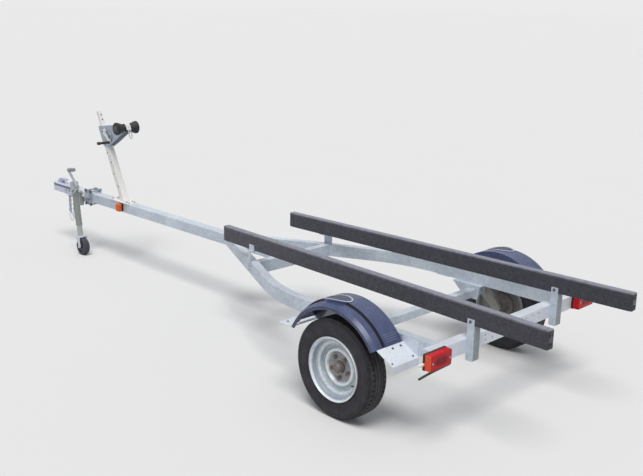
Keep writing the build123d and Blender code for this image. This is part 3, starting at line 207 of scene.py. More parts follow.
@cache
def spangle_group() -> Tree:
    """Zinc crystals: flat cells of differing tone with finer ones among them.

    Returns:
        Group with Place and Size in, Tone and Cloud out.
    """
    effect = Effect("zinc spangle", (("Place", "Vector", None), ("Size", "Float", 0.012)), ("Tone", "Cloud"))
    place = effect.given("Place")
    scale = effect.math("DIVIDE", 1.0, effect.given("Size"))
    warp = effect.add("TexNoise", Vector=place, Scale=35.0, Detail=2.0)
    warp_reach, finer, coarse_share = 0.010, 2.7, 0.65
    shift = effect.add("VectorMath", {"operation": "SCALE"}, Vector=warp.outputs["Color"], Scale=warp_reach)
    moved = effect.add("VectorMath", {"operation": "ADD"}, Vector=place)
    effect.feed(moved, 1, shift.outputs[0])
    coarse = effect.add("TexVoronoi", Vector=moved.outputs[0], Scale=scale)
    fine = effect.add("TexVoronoi", Vector=moved.outputs[0], Scale=effect.times(scale, finer))
    coarse_tone = effect.add("SeparateColor", Color=coarse.outputs["Color"]).outputs[0]
    fine_tone = effect.add("SeparateColor", Color=fine.outputs["Color"]).outputs[1]
    tone = effect.math("ADD", effect.times(coarse_tone, coarse_share), effect.times(fine_tone, 1 - coarse_share))
    cloud = effect.add("TexNoise", Vector=place, Scale=4.0, Detail=5.0, Roughness=0.6)
    effect.feed(effect.exit, "Tone", tone)
    effect.feed(effect.exit, "Cloud", cloud.outputs["Fac"])
    return effect.tree


@cache
def dust_group() -> Tree:
    """Dust on upward faces, in blotches, and road dirt near the ground.

    Returns:
        Group with Place, Amount and Low in, Mask out.
    """
    effect = Effect("settled dust", (("Place", "Vector", None), ("Amount", "Float", 0.4), ("Low", "Float", 0.4)),
                    ("Mask",))
    place = effect.given("Place")
    facing = effect.range(effect.part(effect.add("NewGeometry").outputs["Normal"], 2), 0.2, 0.95)
    blotch = effect.add("TexNoise", Vector=place, Scale=14.0, Detail=6.0, Roughness=0.65).outputs["Fac"]
    speck = effect.add("TexNoise", Vector=place, Scale=160.0, Detail=3.0).outputs["Fac"]
    patches = effect.range(blotch, 0.38, 0.68)
    road_reach, settled_base, road_base = 0.35, 0.25, 0.35
    low = effect.times(effect.range(effect.part(place, 2), road_reach, 0.0), effect.given("Low"))
    settled = effect.times(facing, effect.math("ADD", patches, settled_base))
    mask = effect.math("MAXIMUM", settled, effect.times(low, effect.math("ADD", blotch, road_base)))
    grain = effect.times(mask, effect.range(speck, 0.3, 0.6, 0.55, 1.0))
    held = effect.add("Math", {"operation": "MULTIPLY", "use_clamp": True})
    effect.feed(held, 0, grain)
    effect.feed(held, 1, effect.given("Amount"))
    effect.feed(effect.exit, "Mask", held.outputs[0])
    return effect.tree


@cache
def grain_group() -> Tree:
    """Fine moulded or rolled grain for bump and tone.

    Returns:
        Group with Place and Size in, Value out.
    """
    effect = Effect("fine grain", (("Place", "Vector", None), ("Size", "Float", 0.002)), ("Value",))
    scale = effect.math("DIVIDE", 1.0, effect.given("Size"))
    noise = effect.add("TexNoise", Vector=effect.given("Place"), Scale=scale, Detail=4.0, Roughness=0.6)
    effect.feed(effect.exit, "Value", noise.outputs["Fac"])
    return effect.tree


@cache
def axle_distance_group() -> Tree:
    """Turns a place on a wheel into its distance from the axle.

    Returns:
        Group with Place in, measured from a point on the axle, and Radius out.
    """
    effect = Effect("round the axle", (("Place", "Vector", None),), ("Radius",))
    squares = [effect.math("POWER", effect.part(effect.given("Place"), number), 2.0) for number in (0, 2)]
    effect.feed(effect.exit, "Radius", effect.math("SQRT", effect.math("ADD", *squares)))
    return effect.tree


class Surface(Graph):
    """Graph of one material, with its shader, its object coordinates and the shared effects."""

    def __init__(self, material: Material) -> None:
        """Clears the material's nodes, and adds its shader, its output and its coordinates.

        Args:
            material: The new material.
        """
        super().__init__(material.node_tree)
        self.tree.nodes.clear()
        self.shader = self.add("BsdfPrincipled")
        self.add("OutputMaterial", Surface=self.shader.outputs[0])
        self.place = self.add("TexCoord").outputs["Object"]

    def effect(self, group: Tree, **inputs: object) -> Node:
        """Adds a shared group, at the object coordinates where nothing else is given."""
        return self.add("Group", {"node_tree": group}, **{"Place": self.place, **inputs})

    def show(self, **inputs: object) -> None:
        """Feeds the shader's inputs, named with underscores for spaces."""
        for name, value in inputs.items():
            self.feed(self.shader, name.replace("_", " "), value)

    def centred(self, centre: Point) -> Socket:
        """Object coordinates measured from a centre."""
        return self.add("Mapping", Vector=self.place, Location=[-part for part in centre]).outputs[0]

    def radius(self, centre: Point) -> Socket:
        """Distance from a wheel's axle through a centre."""
        return self.effect(axle_distance_group(), Place=self.centred(centre)).outputs["Radius"]

    def grain(self, size: float) -> Socket:
        """Fine grain of a size."""
        return self.effect(grain_group(), Size=size).outputs[0]

    def dust(self, amount: float, low: float) -> Socket:
        """Mask of settled dust, by its amount and by the road dirt low down."""
        return self.effect(dust_group(), Amount=amount, Low=low).outputs["Mask"]

    def crystals(self, size: float, share: float, dark: Colour, pale: Colour) -> tuple[Socket, Socket]:
        """Zinc of a spangle, mixed by its crystals and clouds.

        Args:
            size: Size of a crystal in metres.
            share: Share of the crystals in the mix.
            dark: Colour of the dark zinc.
            pale: Colour of the pale zinc.

        Returns:
            The zinc's colour and the crystals' tone.
        """
        cells = self.effect(spangle_group(), Size=size)
        clouds = self.range(cells.outputs["Cloud"], *NOISE_SPREAD)
        tone = self.math("ADD", self.times(cells.outputs["Tone"], share), self.times(clouds, 1 - share))
        return self.blend(tone, dark, pale), cells.outputs["Tone"]

    def prisms(self, across: Socket, rise: Socket, pitch: float) -> Socket:
        """Moulded prisms of a lens, from -1 to 1, at a pitch both ways."""
        return self.times(*(self.math("SINE", self.times(part, 2 * math.pi / pitch)) for part in (across, rise)))

    def ring(self, radius: Socket, edges: Sequence[float]) -> Socket:
        """Mask that rises from 0 to 1 over the first two radii, and falls from the last one to the third."""
        return self.times(self.range(radius, *edges[:2]), self.range(radius, *edges[2:]))

    def bump(self, height: Socket, strength: float, depth: float) -> None:
        """Adds fine relief to the shader, of a depth in metres."""
        self.show(Normal=self.add("Bump", Height=height, Strength=strength, Distance=depth).outputs[0])


def scaled(colour: Colour, gain: float, base: float = 0.0) -> Colour:
    """A colour times a gain, plus a base, and at most 1."""
    return tuple(min(1.0, gain * part + base) for part in colour)


@dataclass(frozen=True)
class Finish:
    """Base of all finishes: makes a material with a Principled shader and object coordinates."""

    name: str

    def build(self) -> Material:
        """Makes the finish's material.

        Returns:
            The new material.
        """
        material = bpy.data.materials.new(self.name)
        material.use_nodes = True
        self.dress(Surface(material))
        return material

    def dress(self, surface: Surface) -> None:
        """Adds the finish's own nodes to the surface."""
        raise NotImplementedError


@dataclass(frozen=True)
class Galvanised(Finish):
    """Hot-dip zinc with spangle, dulled by weather, with a band of painted shadow between two heights where it has one.
    """

    # The blue of these zinc colours is partly painted sky reflection
    pale: Colour = (0.77, 0.84, 0.92)
    dark: Colour = (0.46, 0.53, 0.62)
    spangle: float = 0.013
    crystal_share: float = 0.55
    metallic: float = 0.22
    dust: float = 0.08
    dusty: Colour = (0.46, 0.44, 0.39)
    # Painted shadow: a dark band between two heights, where the finish has one
    band: Pair | None = None
    shadow_band_colour: Colour = (0.045, 0.060, 0.12)
    shadow_band_share: float = 0.85
    band_edge: float = 0.002

    def dress(self, surface: Surface) -> None:
        """Adds the zinc, its band of painted shadow and its dust.

        Args:
            surface: Surface of the material.
        """
        zinc, tone = surface.crystals(self.spangle, self.crystal_share, self.dark, self.pale)
        dust = surface.dust(self.dust, 0.5)
        # Painted shadow: darkens the zinc between the band's two heights
        if self.band:
            height = surface.part(surface.place, 2)
            low, high, edge = *self.band, self.band_edge
            inside = surface.times(surface.range(height, low - edge, low + edge),
                                   surface.range(height, high + edge, high - edge))
            zinc = surface.blend(surface.times(inside, self.shadow_band_share), zinc, self.shadow_band_colour)
        surface.show(Base_Color=surface.blend(dust, zinc, self.dusty),
                     Metallic=surface.range(dust, 0.0, 1.0, self.metallic, 0.0),
                     Roughness=surface.range(tone, 0.1, 0.9, 0.50, 0.34))
        surface.bump(tone, 0.25, 0.0004)


@dataclass(frozen=True)
class Plated(Finish):
    """Bright zinc plate on small steel pieces, with brighter plate below a height where the finish has one."""

    colour: Colour = (0.72, 0.73, 0.74)
    dull_share: float = 0.72
    roughness: float = 0.32
    dust: float = 0.2
    dusty: Colour = (0.42, 0.39, 0.33)
    bright_below: float | None = None
    bright: Colour = (0.68, 0.70, 0.75)
    bright_edge: float = 0.004

    def dress(self, surface: Surface) -> None:
        """Adds the plate and its dust.

        Args:
            surface: Surface of the material.
        """
        grain = surface.grain(0.006)
        dust = surface.dust(self.dust, 0.4)
        dull = scaled(self.colour, self.dull_share)
        plate = surface.blend(surface.range(grain, *NOISE_SPREAD), dull, self.colour)
        if self.bright_below:
            height = surface.part(surface.place, 2)
            low = surface.range(height, self.bright_below + self.bright_edge, self.bright_below)
            plate = surface.blend(low, plate, self.bright)
        surface.show(Base_Color=surface.blend(dust, plate, self.dusty),
                     Metallic=surface.range(dust, 0.0, 1.0, 0.85, 0.1),
                     Roughness=surface.range(grain, 0.3, 0.7, self.roughness, self.roughness + 0.16))


@dataclass(frozen=True)
class RustedIron(Finish):
    """Bare cast iron, brown-grey with light rust."""

    iron: Colour = (0.24, 0.23, 0.235)
    rust: Colour = (0.20, 0.155, 0.13)

    def dress(self, surface: Surface) -> None:
        """Adds the iron and its rust.

        Args:
            surface: Surface of the material.
        """
        fine = surface.grain(0.0015)
        share = surface.range(surface.grain(0.02), 0.42, 0.60, 0.15, 0.9)
        surface.show(Base_Color=surface.blend(share, self.iron, self.rust),
                     Metallic=surface.range(share, 0.0, 1.0, 0.5, 0.05),
                     Roughness=surface.range(fine, 0.3, 0.7, 0.5, 0.75))
        surface.bump(fine, 0.35, 0.0005)


@dataclass(frozen=True)
class Painted(Finish):
    """Painted steel, satin, with dust."""

    colour: Colour
    worn_gain: float = 1.25
    roughness: float = 0.42
    dust: float = 0.35
    dusty: Colour = (0.45, 0.43, 0.38)

    def dress(self, surface: Surface) -> None:
        """Adds the paint and its dust.

        Args:
            surface: Surface of the material.
        """
        grain = surface.grain(0.012)
        dust = surface.dust(self.dust, 0.4)
        worn = scaled(self.colour, self.worn_gain)
        paint = surface.blend(surface.range(grain, 0.35, 0.7), self.colour, worn)
        surface.show(Base_Color=surface.blend(dust, paint, self.dusty),
                     Roughness=surface.range(grain, 0.3, 0.7, self.roughness, self.roughness + 0.15))
        surface.bump(grain, 0.1, 0.0004)


@dataclass(frozen=True)
class Moulded(Finish):
    """Moulded plastic or rubber with a fine grain."""

    colour: Colour
    worn_gain: float = 1.5
    worn_base: float = 0.01
    roughness: float = 0.42
    grain: float = 0.0012
    depth: float = 0.0002
    dust: float = 0.3
    dusty: Colour = (0.36, 0.35, 0.32)

    def dress(self, surface: Surface) -> None:
        """Adds the plastic and its dust.

        Args:
            surface: Surface of the material.
        """
        streak = surface.grain(0.05)
        worn = scaled(self.colour, self.worn_gain, self.worn_base)
        plastic = surface.blend(surface.range(streak, 0.35, 0.7), self.colour, worn)
        surface.show(Base_Color=surface.blend(surface.dust(self.dust, 0.3), plastic, self.dusty),
                     Roughness=surface.range(streak, 0.3, 0.7, self.roughness, self.roughness + 0.14))
        surface.bump(surface.grain(self.grain), 0.4, self.depth)


@dataclass(frozen=True)
class TyreRubber(Finish):
    """Tyre rubber: near black with a bluish bloom, dusty on the tread's edges and at the rim."""

    axle: Point
    colour: Colour = (0.014, 0.014, 0.018)
    bloom: Colour = (0.032, 0.031, 0.042)
    dirt: Colour = (0.085, 0.080, 0.076)
    shine: float = 0.35
    tread_edge: Pair = (0.255, 0.264)
    tread_share: float = 0.55
    bead_edge: Pair = (0.186, 0.172)
    bead_share: float = 0.5

    def dress(self, surface: Surface) -> None:
        """Adds the rubber, its bloom and its dirt.

        Args:
            surface: Surface of the material.
        """
        radius = surface.radius(self.axle)
        blotch = surface.grain(0.06)
        rubber = surface.blend(surface.range(blotch, *NOISE_SPREAD), self.colour, self.bloom)
        tread = surface.times(surface.range(radius, *self.tread_edge), self.tread_share)
        bead = surface.times(surface.range(radius, *self.bead_edge), self.bead_share)
        dirty = surface.times(surface.math("MAXIMUM", tread, bead), surface.range(blotch, 0.3, 0.65, 0.1, 0.8))
        surface.show(Base_Color=surface.blend(dirty, rubber, self.dirt),
                     Roughness=surface.range(dirty, 0.0, 1.0, 0.50, 0.8), Specular_IOR_Level=self.shine)
        surface.bump(surface.grain(0.004), 0.2, 0.0004)


@dataclass(frozen=True)
class WheelRim(Finish):
    """Galvanised wheel: painted highlight on the lip and raised ring, painted shade in the seat and dish, iron-stained
    centre, darker on its inner side.

    Each row of edges gives the radii over which a ring's mask rises, and those over which it falls.
    """

    axle: Point
    pale: Colour = (0.90, 0.94, 0.99)
    dark: Colour = (0.48, 0.54, 0.61)
    # shade and dish are painted shade in the recess between the ring and the lip; pale also paints the highlight on the
    # lip and the ring
    shade: Colour = (0.25, 0.30, 0.35)
    dish: Colour = (0.31, 0.39, 0.37)
    stain: Colour = (0.30, 0.28, 0.28)
    inner: Colour = (0.21, 0.20, 0.175)
    lip_edge: Pair = (0.160, 0.164)
    ring_edges: tuple[float, ...] = (0.084, 0.087, 0.099, 0.095)
    seat_edges: tuple[float, ...] = (0.137, 0.142, 0.160, 0.155)
    dish_edges: tuple[float, ...] = (0.100, 0.104, 0.127, 0.124)
    stain_edge: Pair = (0.082, 0.074)
    highlight_share: float = 0.75
    seat_share: float = 0.60
    dish_share: float = 0.62

    def dress(self, surface: Surface) -> None:
        """Adds the zinc, the painted highlight and shade of its rings, the stain and the darker inner side.

        Args:
            surface: Surface of the material.
        """
        radius = surface.radius(self.axle)
        zinc, tone = surface.crystals(0.014, 0.6, self.dark, self.pale)
        ring, seat, dish = (surface.ring(radius, edges)
                            for edges in (self.ring_edges, self.seat_edges, self.dish_edges))
        # Painted highlight on the lip and the raised ring, painted shade in the seat and the dish
        raised = surface.math("MAXIMUM", surface.range(radius, *self.lip_edge), ring)
        shaded = surface.blend(surface.times(seat, self.seat_share), zinc, self.shade)
        dished = surface.blend(surface.times(dish, self.dish_share), shaded, self.dish)
        bright = surface.blend(surface.times(raised, self.highlight_share), dished, self.pale)
        stained = surface.times(surface.range(radius, *self.stain_edge),
                                surface.range(surface.grain(0.03), 0.25, 0.6, 0.55, 0.95))
        # Darker towards the inner side, by the direction of the faces
        facing = surface.part(surface.add("NewGeometry").outputs["Normal"], 1)
        inward = surface.range(surface.times(facing, math.copysign(1.0, -self.axle[1])), 0.15, 0.6, 0.0, 0.85)
        outer_side = surface.blend(stained, bright, self.stain)
        surface.show(Base_Color=surface.blend(inward, outer_side, self.inner),
                     Metallic=surface.range(surface.math("MAXIMUM", stained, inward), 0.0, 1.0, 0.35, 0.05),
                     Roughness=surface.range(tone, 0.1, 0.9, 0.46, 0.30))
        surface.bump(tone, 0.25, 0.0004)


@dataclass(frozen=True)
class Carpet(Finish):
    """Looped marine carpet: fuzzy, with paler tips on the top edge, partly wear and partly painted highlight."""

    top: float
    pile: Colour = (0.028, 0.028, 0.040)
    tips: Colour = (0.15, 0.146, 0.20)
    # Paler top edge: part wear, part painted highlight
    worn: Colour = (0.30, 0.31, 0.38)
    worn_lit_edge: Pair = (0.012, 0.001)
    loops_per_metre: float = 330.0

    def dress(self, surface: Surface) -> None:
        """Adds the loops, and the wear and painted highlight of the top edge.

        Args:
            surface: Surface of the material.
        """
        loops = surface.add("TexVoronoi", Vector=surface.place, Scale=self.loops_per_metre)
        tuft = surface.range(loops.outputs["Distance"], 0.05, 0.65, 1.0, 0.0)
        matting = surface.grain(0.03)
        # The top edge is paler, as wear and as painted highlight
        upper = surface.range(surface.part(surface.place, 2), *(self.top - below for below in self.worn_lit_edge))
        share = surface.times(tuft, surface.range(matting, 0.3, 0.7, 0.35, 1.0))
        cloth = surface.blend(share, self.pile, self.tips)
        wear_and_highlight = surface.times(upper, surface.range(matting, 0.25, 0.6, 0.45, 0.9))
        surface.show(Base_Color=surface.blend(wear_and_highlight, cloth, self.worn), Roughness=0.95, Sheen_Weight=0.35,
                     Sheen_Roughness=0.5)
        surface.bump(share, 0.9, 0.0016)


@dataclass(frozen=True)
class Lens(Finish):
    """Coloured lamp lens with moulded ribs, and a second colour at one end."""

    colour: Colour
    end_colour: Colour
    end_from: float
    side: int
    end_edge: float = 0.001
    deep_tint: Colour = (0.05, 0.0, 0.0)
    deep_share: float = 0.45
    ribs: float = 0.006
    shine: float = 0.2

    def dress(self, surface: Surface) -> None:
        """Adds the lens, its ribs and its end.

        Args:
            surface: Surface of the material.
        """
        parts = surface.add("SeparateXYZ", Vector=surface.place)
        across = surface.times(parts.outputs[1], float(self.side))
        ending = surface.range(across, self.end_from - self.end_edge, self.end_from + self.end_edge)
        prism = surface.prisms(parts.outputs[1], parts.outputs[2], self.ribs)
        base = surface.blend(ending, self.colour, self.end_colour)
        deep = surface.blend(self.deep_share, base, self.deep_tint)
        surface.show(Base_Color=surface.blend(surface.range(prism, -0.6, 0.6, 0.0, 0.6), base, deep),
                     Roughness=surface.range(surface.grain(0.02), 0.3, 0.7, 0.10, 0.26),
                     Specular_IOR_Level=self.shine)
        surface.bump(prism, 0.25, 0.0006)


@dataclass(frozen=True)
class TailLens(Finish):
    """Red tail lamp lens: dark reflector windows behind the rear face, and its outer side painted orange as sunlit."""

    centre: Point
    amber_from: float
    side: int
    red: Colour = (0.66, 0.012, 0.020)
    deep: Colour = (0.17, 0.002, 0.006)
    # Painted light: the lit orange of the sunlit outer side
    lit_amber: Colour = (0.86, 0.105, 0.045)
    amber_edge: float = 0.0006
    window_half: Pair = (0.055, 0.024)
    ribs: float = 0.0055
    shine: float = 0.2

    def dress(self, surface: Surface) -> None:
        """Adds the lens, its window, its ribs and its outer side painted as sunlit.

        Args:
            surface: Surface of the material.
        """
        local = surface.add("SeparateXYZ", Vector=surface.centred(self.centre))
        reach = surface.times(surface.part(surface.place, 1), float(self.side))
        squares = [surface.math("POWER", surface.math("DIVIDE", local.outputs[number], half), 2.0)
                   for number, half in enumerate(self.window_half, 1)]
        window = surface.range(surface.math("ADD", *squares), 0.45, 1.25, 0.85, 0.0)
        prism = surface.prisms(local.outputs[1], local.outputs[2], self.ribs)
        glass = surface.blend(surface.range(prism, -0.6, 0.6, 0.0, 0.30), self.red, self.deep)
        dark = surface.blend(window, glass, self.deep)
        # Painted light: the outer end is painted a sunlit orange
        ending = surface.range(reach, self.amber_from - self.amber_edge, self.amber_from + self.amber_edge)
        surface.show(Base_Color=surface.blend(ending, dark, self.lit_amber),
                     Roughness=surface.range(surface.grain(0.02), 0.3, 0.7, 0.12, 0.26),
                     Specular_IOR_Level=self.shine)
        surface.bump(prism, 0.25, 0.0006)


@dataclass(frozen=True)
class Webbing(Finish):
    """Woven polyester strap."""

    colour: Colour = (0.90, 0.90, 0.88)
    dark_share: float = 0.75
    weft_rate: float = 2600.0
    warp_rate: float = 1900.0

    def dress(self, surface: Surface) -> None:
        """Adds the weave.

        Args:
            surface: Surface of the material.
        """
        parts = surface.add("SeparateXYZ", Vector=surface.place)
        along = surface.math("ADD", parts.outputs[0], parts.outputs[2])
        weft = surface.math("SINE", surface.times(parts.outputs[1], self.weft_rate))
        warp = surface.math("SINE", surface.times(along, self.warp_rate))
        weave = surface.times(weft, warp)
        dark = scaled(self.colour, self.dark_share)
        surface.show(Base_Color=surface.blend(surface.range(weave, -0.7, 0.7), dark, self.colour), Roughness=0.85)
        surface.bump(weave, 0.5, 0.0005)


@dataclass(frozen=True)
class StudioFloor(Finish):
    """Pale floor, seen pale by the camera and in reflections, that throws less light back up than it shows."""

    colour: Colour = (0.80, 0.80, 0.80)
    low_share: float = 0.985
    thrown: float = 0.55

    def dress(self, surface: Surface) -> None:
        """Adds the floor's faint clouds, and its darker colour for the light that it throws.

        Args:
            surface: Surface of the material.
        """
        noise = surface.add("TexNoise", Vector=surface.place, Scale=0.8, Detail=3.0).outputs["Fac"]
        low = scaled(self.colour, self.low_share)
        path = surface.add("LightPath")
        seen = surface.math("MAXIMUM", path.outputs["Is Camera Ray"], path.outputs["Is Glossy Ray"])
        darker = scaled(self.colour, self.thrown)
        surface.show(Base_Color=surface.blend(seen, darker, surface.blend(noise, low, self.colour)), Roughness=0.9)


# Bench: pieces made with mesh operators

class Bench:
    """Makes small pieces with mesh operators, each at its place in the row frame."""

    @staticmethod
    def clear() -> None:
        """Deselects everything."""
        if bpy.context.mode != "OBJECT":
            bpy.ops.object.mode_set(mode="OBJECT")
        bpy.ops.object.select_all(action="DESELECT")

    @staticmethod
    def choose(*pieces: Piece) -> None:
        """Selects only the given pieces and makes the first one active."""
        Bench.clear()
        for piece in pieces:
            piece.select_set(True)
        bpy.context.view_layer.objects.active = pieces[0]

    @staticmethod
    def settle(piece: Piece) -> None:
        """Puts a piece's place into its mesh, with faces pointing outwards.

        Args:
            piece: Object to settle, which then stands at the origin.
        """
        Bench.choose(piece)
        bpy.ops.object.transform_apply(location=True, rotation=True, scale=True)
        bpy.ops.object.mode_set(mode="EDIT")
        bpy.ops.mesh.select_all(action="SELECT")
        bpy.ops.mesh.normals_make_consistent(inside=False)
        bpy.ops.object.mode_set(mode="OBJECT")

    @staticmethod
    def bevel(piece: Piece, width: float, segments: int = 2) -> None:
        """Rounds a piece's sharp edges.

        Args:
            piece: Object to round.
            width: Width of the bevel in metres.
            segments: Faces across the bevel.
        """
        Bench.choose(piece)
        modifier = piece.modifiers.new("rounding", "BEVEL")
        modifier.width = width
        modifier.segments = segments
        modifier.limit_method = "ANGLE"
        modifier.angle_limit = ROUNDED_FROM
        bpy.ops.object.modifier_apply(modifier=modifier.name)
        bpy.ops.object.shade_smooth_by_angle(angle=CREASE)

    @staticmethod
    def turned(axis: Vector) -> Point:
        """Euler angles that turn +Z to an axis.

        Args:
            axis: Direction to turn to.

        Returns:
            The angles in radians.
        """
        return tuple(UP.rotation_difference(axis.normalized()).to_euler())

    @staticmethod
    def cylinder(name: str, centre: Sequence[float], axis: Vector, radius: float, length: float,
                 sides: int = 32, rounding: float = 0.0) -> Piece:
        """Makes a round or many-sided bar.

        Args:
            name: Name of the piece.
            centre: Middle of the bar.
            axis: Direction of the bar.
            radius: Outer radius.
            length: Length along the axis.
            sides: Number of sides.
            rounding: Bevel of the ends.

        Returns:
            The new piece.
        """
        Bench.clear()
        bpy.ops.mesh.primitive_cylinder_add(vertices=sides, radius=radius, depth=length, location=centre,
                                            rotation=Bench.turned(axis))
        piece = bpy.context.object
        piece.name = name
        Bench.settle(piece)
        if rounding > 0:
            Bench.bevel(piece, rounding)
        return piece

    @staticmethod
    def block(name: str, centre: Sequence[float], size: Sequence[float], turn: Sequence[float] = (0, 0, 0),
              rounding: float = 0.0005) -> Piece:
        """Makes a block with eased edges.

        Args:
            name: Name of the piece.
            centre: Middle of the block.
            size: Extents along its own axes.
            turn: Euler angles in radians.
            rounding: Bevel of the edges.

        Returns:
            The new piece.
        """
        Bench.clear()
        bpy.ops.mesh.primitive_cube_add(size=1.0, location=centre, rotation=turn, scale=size)
        piece = bpy.context.object
        piece.name = name
        Bench.settle(piece)
        if rounding > 0:
            Bench.bevel(piece, rounding)
        return piece

    @staticmethod
    def lathe(name: str, profile: Sequence[Pair], centre: Sequence[float], axis: Vector,
              steps: int = 48, closed: bool = True, start: Vector | None = None,
              angle: float = 2 * math.pi) -> Piece:
        """Spins a section round an axis.

        Args:
            name: Name of the piece.
            profile: Points as distance along the axis and radius, in order.
            centre: Point on the axis where the distance is 0.
            axis: Direction of the axis.
            steps: Faces round the axis.
            closed: Whether the section's last point joins its first.
            start: Direction in which the section is drawn.
            angle: Part of the turn, right-handed about the axis.

        Returns:
            The new piece.
        """
        Bench.clear()
        axis = axis.normalized()
        across = (start or axis.orthogonal()).normalized()
        places = [Vector(centre) + axis * along + across * radius for along, radius in profile]
        bpy.ops.mesh.primitive_plane_add(size=0.001, location=(0, 0, 0))
        piece = bpy.context.object
        piece.name = name
        bpy.ops.object.mode_set(mode="EDIT")
        bpy.ops.mesh.select_mode(type="VERT")
        bpy.ops.mesh.select_all(action="SELECT")
        bpy.ops.mesh.merge(type="CENTER")
        bpy.ops.transform.translate(value=places[0])
        for before, after in zip(places, places[1:]):
            bpy.ops.mesh.extrude_region_move(TRANSFORM_OT_translate={"value": after - before})
        bpy.ops.mesh.select_all(action="SELECT")
        if closed:
            bpy.ops.object.mode_set(mode="OBJECT")
            ends = (0, len(piece.data.vertices) - 1)
            for vertex in piece.data.vertices:
                vertex.select = vertex.index in ends
            for edge in piece.data.edges:
                edge.select = False
            bpy.ops.object.mode_set(mode="EDIT")
            bpy.ops.mesh.edge_face_add()
            bpy.ops.mesh.select_all(action="SELECT")
        # The spin operator turns left-handed about its axis
        bpy.ops.mesh.spin(steps=steps, angle=-angle, center=Vector(centre), axis=axis)
        bpy.ops.mesh.select_all(action="SELECT")
        bpy.ops.mesh.remove_doubles(threshold=MERGE_REACH)
        bpy.ops.mesh.fill_holes(sides=0)
        bpy.ops.mesh.normals_make_consistent(inside=False)
        bpy.ops.object.mode_set(mode="OBJECT")
        bpy.ops.object.shade_smooth_by_angle(angle=SPUN_CREASE)
        return piece

    @staticmethod
    def bead(name: str, start: Sequence[float], end: Sequence[float], radius: float,
             pitch: float = 0.005) -> Piece:
        """Makes a weld bead: overlapping ripples along a line.

        Args:
            name: Name of the piece.
            start: First point of the line.
            end: Last point of the line.
            radius: Radius of the bead.
            pitch: Length of a ripple.

        Returns:
            The new piece.
        """
        run = Vector(end) - Vector(start)
        ripples = max(2, round(run.length / pitch))
        step = run.length / ripples
        ripple = ((0.25, 1.0), (0.75, 0.92), (0.98, 0.72))
        profile = [(0.0, 0.0)]
        for number in range(ripples):
            profile += [((number + along) * step, radius * share) for along, share in ripple]
        profile[-1] = (run.length, 0.0)
        return Bench.lathe(name, profile, start, run, steps=8, closed=False)

    @staticmethod
    def ridges(name: str, centre: Sequence[float], axis: Vector, places: Sequence[float],
               section: tuple[float, float, float, float], steps: int) -> Piece:
        """Makes like rings along an axis, each a low ridge with sloping sides.

        Args:
            name: Name of the piece.
            centre: Point on the axis where the distance is 0.
            axis: Direction of the axis.
            places: Distances of the rings along the axis.
            section: Half length and radius of a ring's foot, then of its crown.
            steps: Faces round the axis.

        Returns:
            The rings as one piece.
        """
        foot, foot_radius, crown, crown_radius = section
        rings = []
        for along in places:
            profile = [(along - foot, foot_radius), (along - crown, crown_radius), (along + crown, crown_radius),
                       (along + foot, foot_radius)]
            rings.append(Bench.lathe("ring", profile, centre, axis, steps=steps))
        return Bench.join(name, rings)

    @staticmethod
    def rod(name: str, places: Sequence[Sequence[float]], radius: float) -> Piece:
        """Makes a bent round rod through points.

        Args:
            name: Name of the piece.
            places: Points of the rod's centre line.
            radius: Radius of the rod.

        Returns:
            The new piece.
        """
        data = bpy.data.curves.new(name, "CURVE")
        data.dimensions = "3D"
        spline = data.splines.new("NURBS")
        spline.points.add(len(places) - 1)
        for point, place in zip(spline.points, places):
            point.co = (*place, 1.0)
        spline.order_u = 3
        spline.use_endpoint_u = True
        spline.resolution_u = 5
        data.bevel_depth = radius
        data.bevel_resolution = 2
        data.use_fill_caps = True
        piece = bpy.data.objects.new(name, data)
        bpy.context.scene.collection.objects.link(piece)
        Bench.choose(piece)
        bpy.ops.object.convert(target="MESH")
        piece = bpy.context.object
        bpy.ops.object.mode_set(mode="EDIT")
        bpy.ops.mesh.select_all(action="SELECT")
        bpy.ops.mesh.remove_doubles(threshold=MERGE_REACH)
        bpy.ops.mesh.normals_make_consistent(inside=False)
        bpy.ops.object.mode_set(mode="OBJECT")
        bpy.ops.object.shade_smooth_by_angle(angle=ROD_CREASE)
        return piece

    @staticmethod
    def raise_faces(piece: Piece, wanted: Callable[[Face], bool], inset: float, rise: float) -> None:
        """Raises each wanted face by itself with sloping sides.

        Args:
            piece: Piece whose faces are raised.
            wanted: Test of a face.
            inset: Width of the sloping sides.
            rise: Height along the face's normal.
        """
        Bench.choose(piece)
        bpy.ops.object.mode_set(mode="EDIT")
        bpy.ops.mesh.select_mode(type="FACE")
        bpy.ops.mesh.select_all(action="DESELECT")
        bpy.ops.object.mode_set(mode="OBJECT")
        for face in piece.data.polygons:
            face.select = wanted(face)
        bpy.ops.object.mode_set(mode="EDIT")
        bpy.ops.mesh.inset(thickness=inset, depth=rise, use_individual=True)
        bpy.ops.object.mode_set(mode="OBJECT")

    @staticmethod
    def divide(piece: Piece, direction: Vector, cuts: int) -> None:
        """Cuts the edges that run in a direction into equal parts.

        Args:
            piece: Piece to divide.
            direction: Direction of the edges.
            cuts: Number of cuts.
        """
        bpy.ops.object.mode_set(mode="EDIT")
        bpy.ops.mesh.select_mode(type="EDGE")
        bpy.ops.mesh.select_all(action="DESELECT")
        bpy.ops.object.mode_set(mode="OBJECT")
        for edge in piece.data.edges:
            first, last = (piece.data.vertices[number].co for number in edge.vertices)
            edge.select = abs((last - first).normalized().dot(direction)) > 0.999
        bpy.ops.object.mode_set(mode="EDIT")
        bpy.ops.mesh.subdivide(number_cuts=cuts)
        bpy.ops.object.mode_set(mode="OBJECT")

    @staticmethod
    def copy(piece: Piece, move: Matrix) -> Piece:
        """Copies a piece to another place, with a mesh of its own.

        Args:
            piece: Piece to copy.
            move: Change of place in the row frame.

        Returns:
            The copy.
        """
        twin = piece.copy()
        twin.data = piece.data.copy()
        twin.data.transform(move)
        bpy.context.scene.collection.objects.link(twin)
        return twin

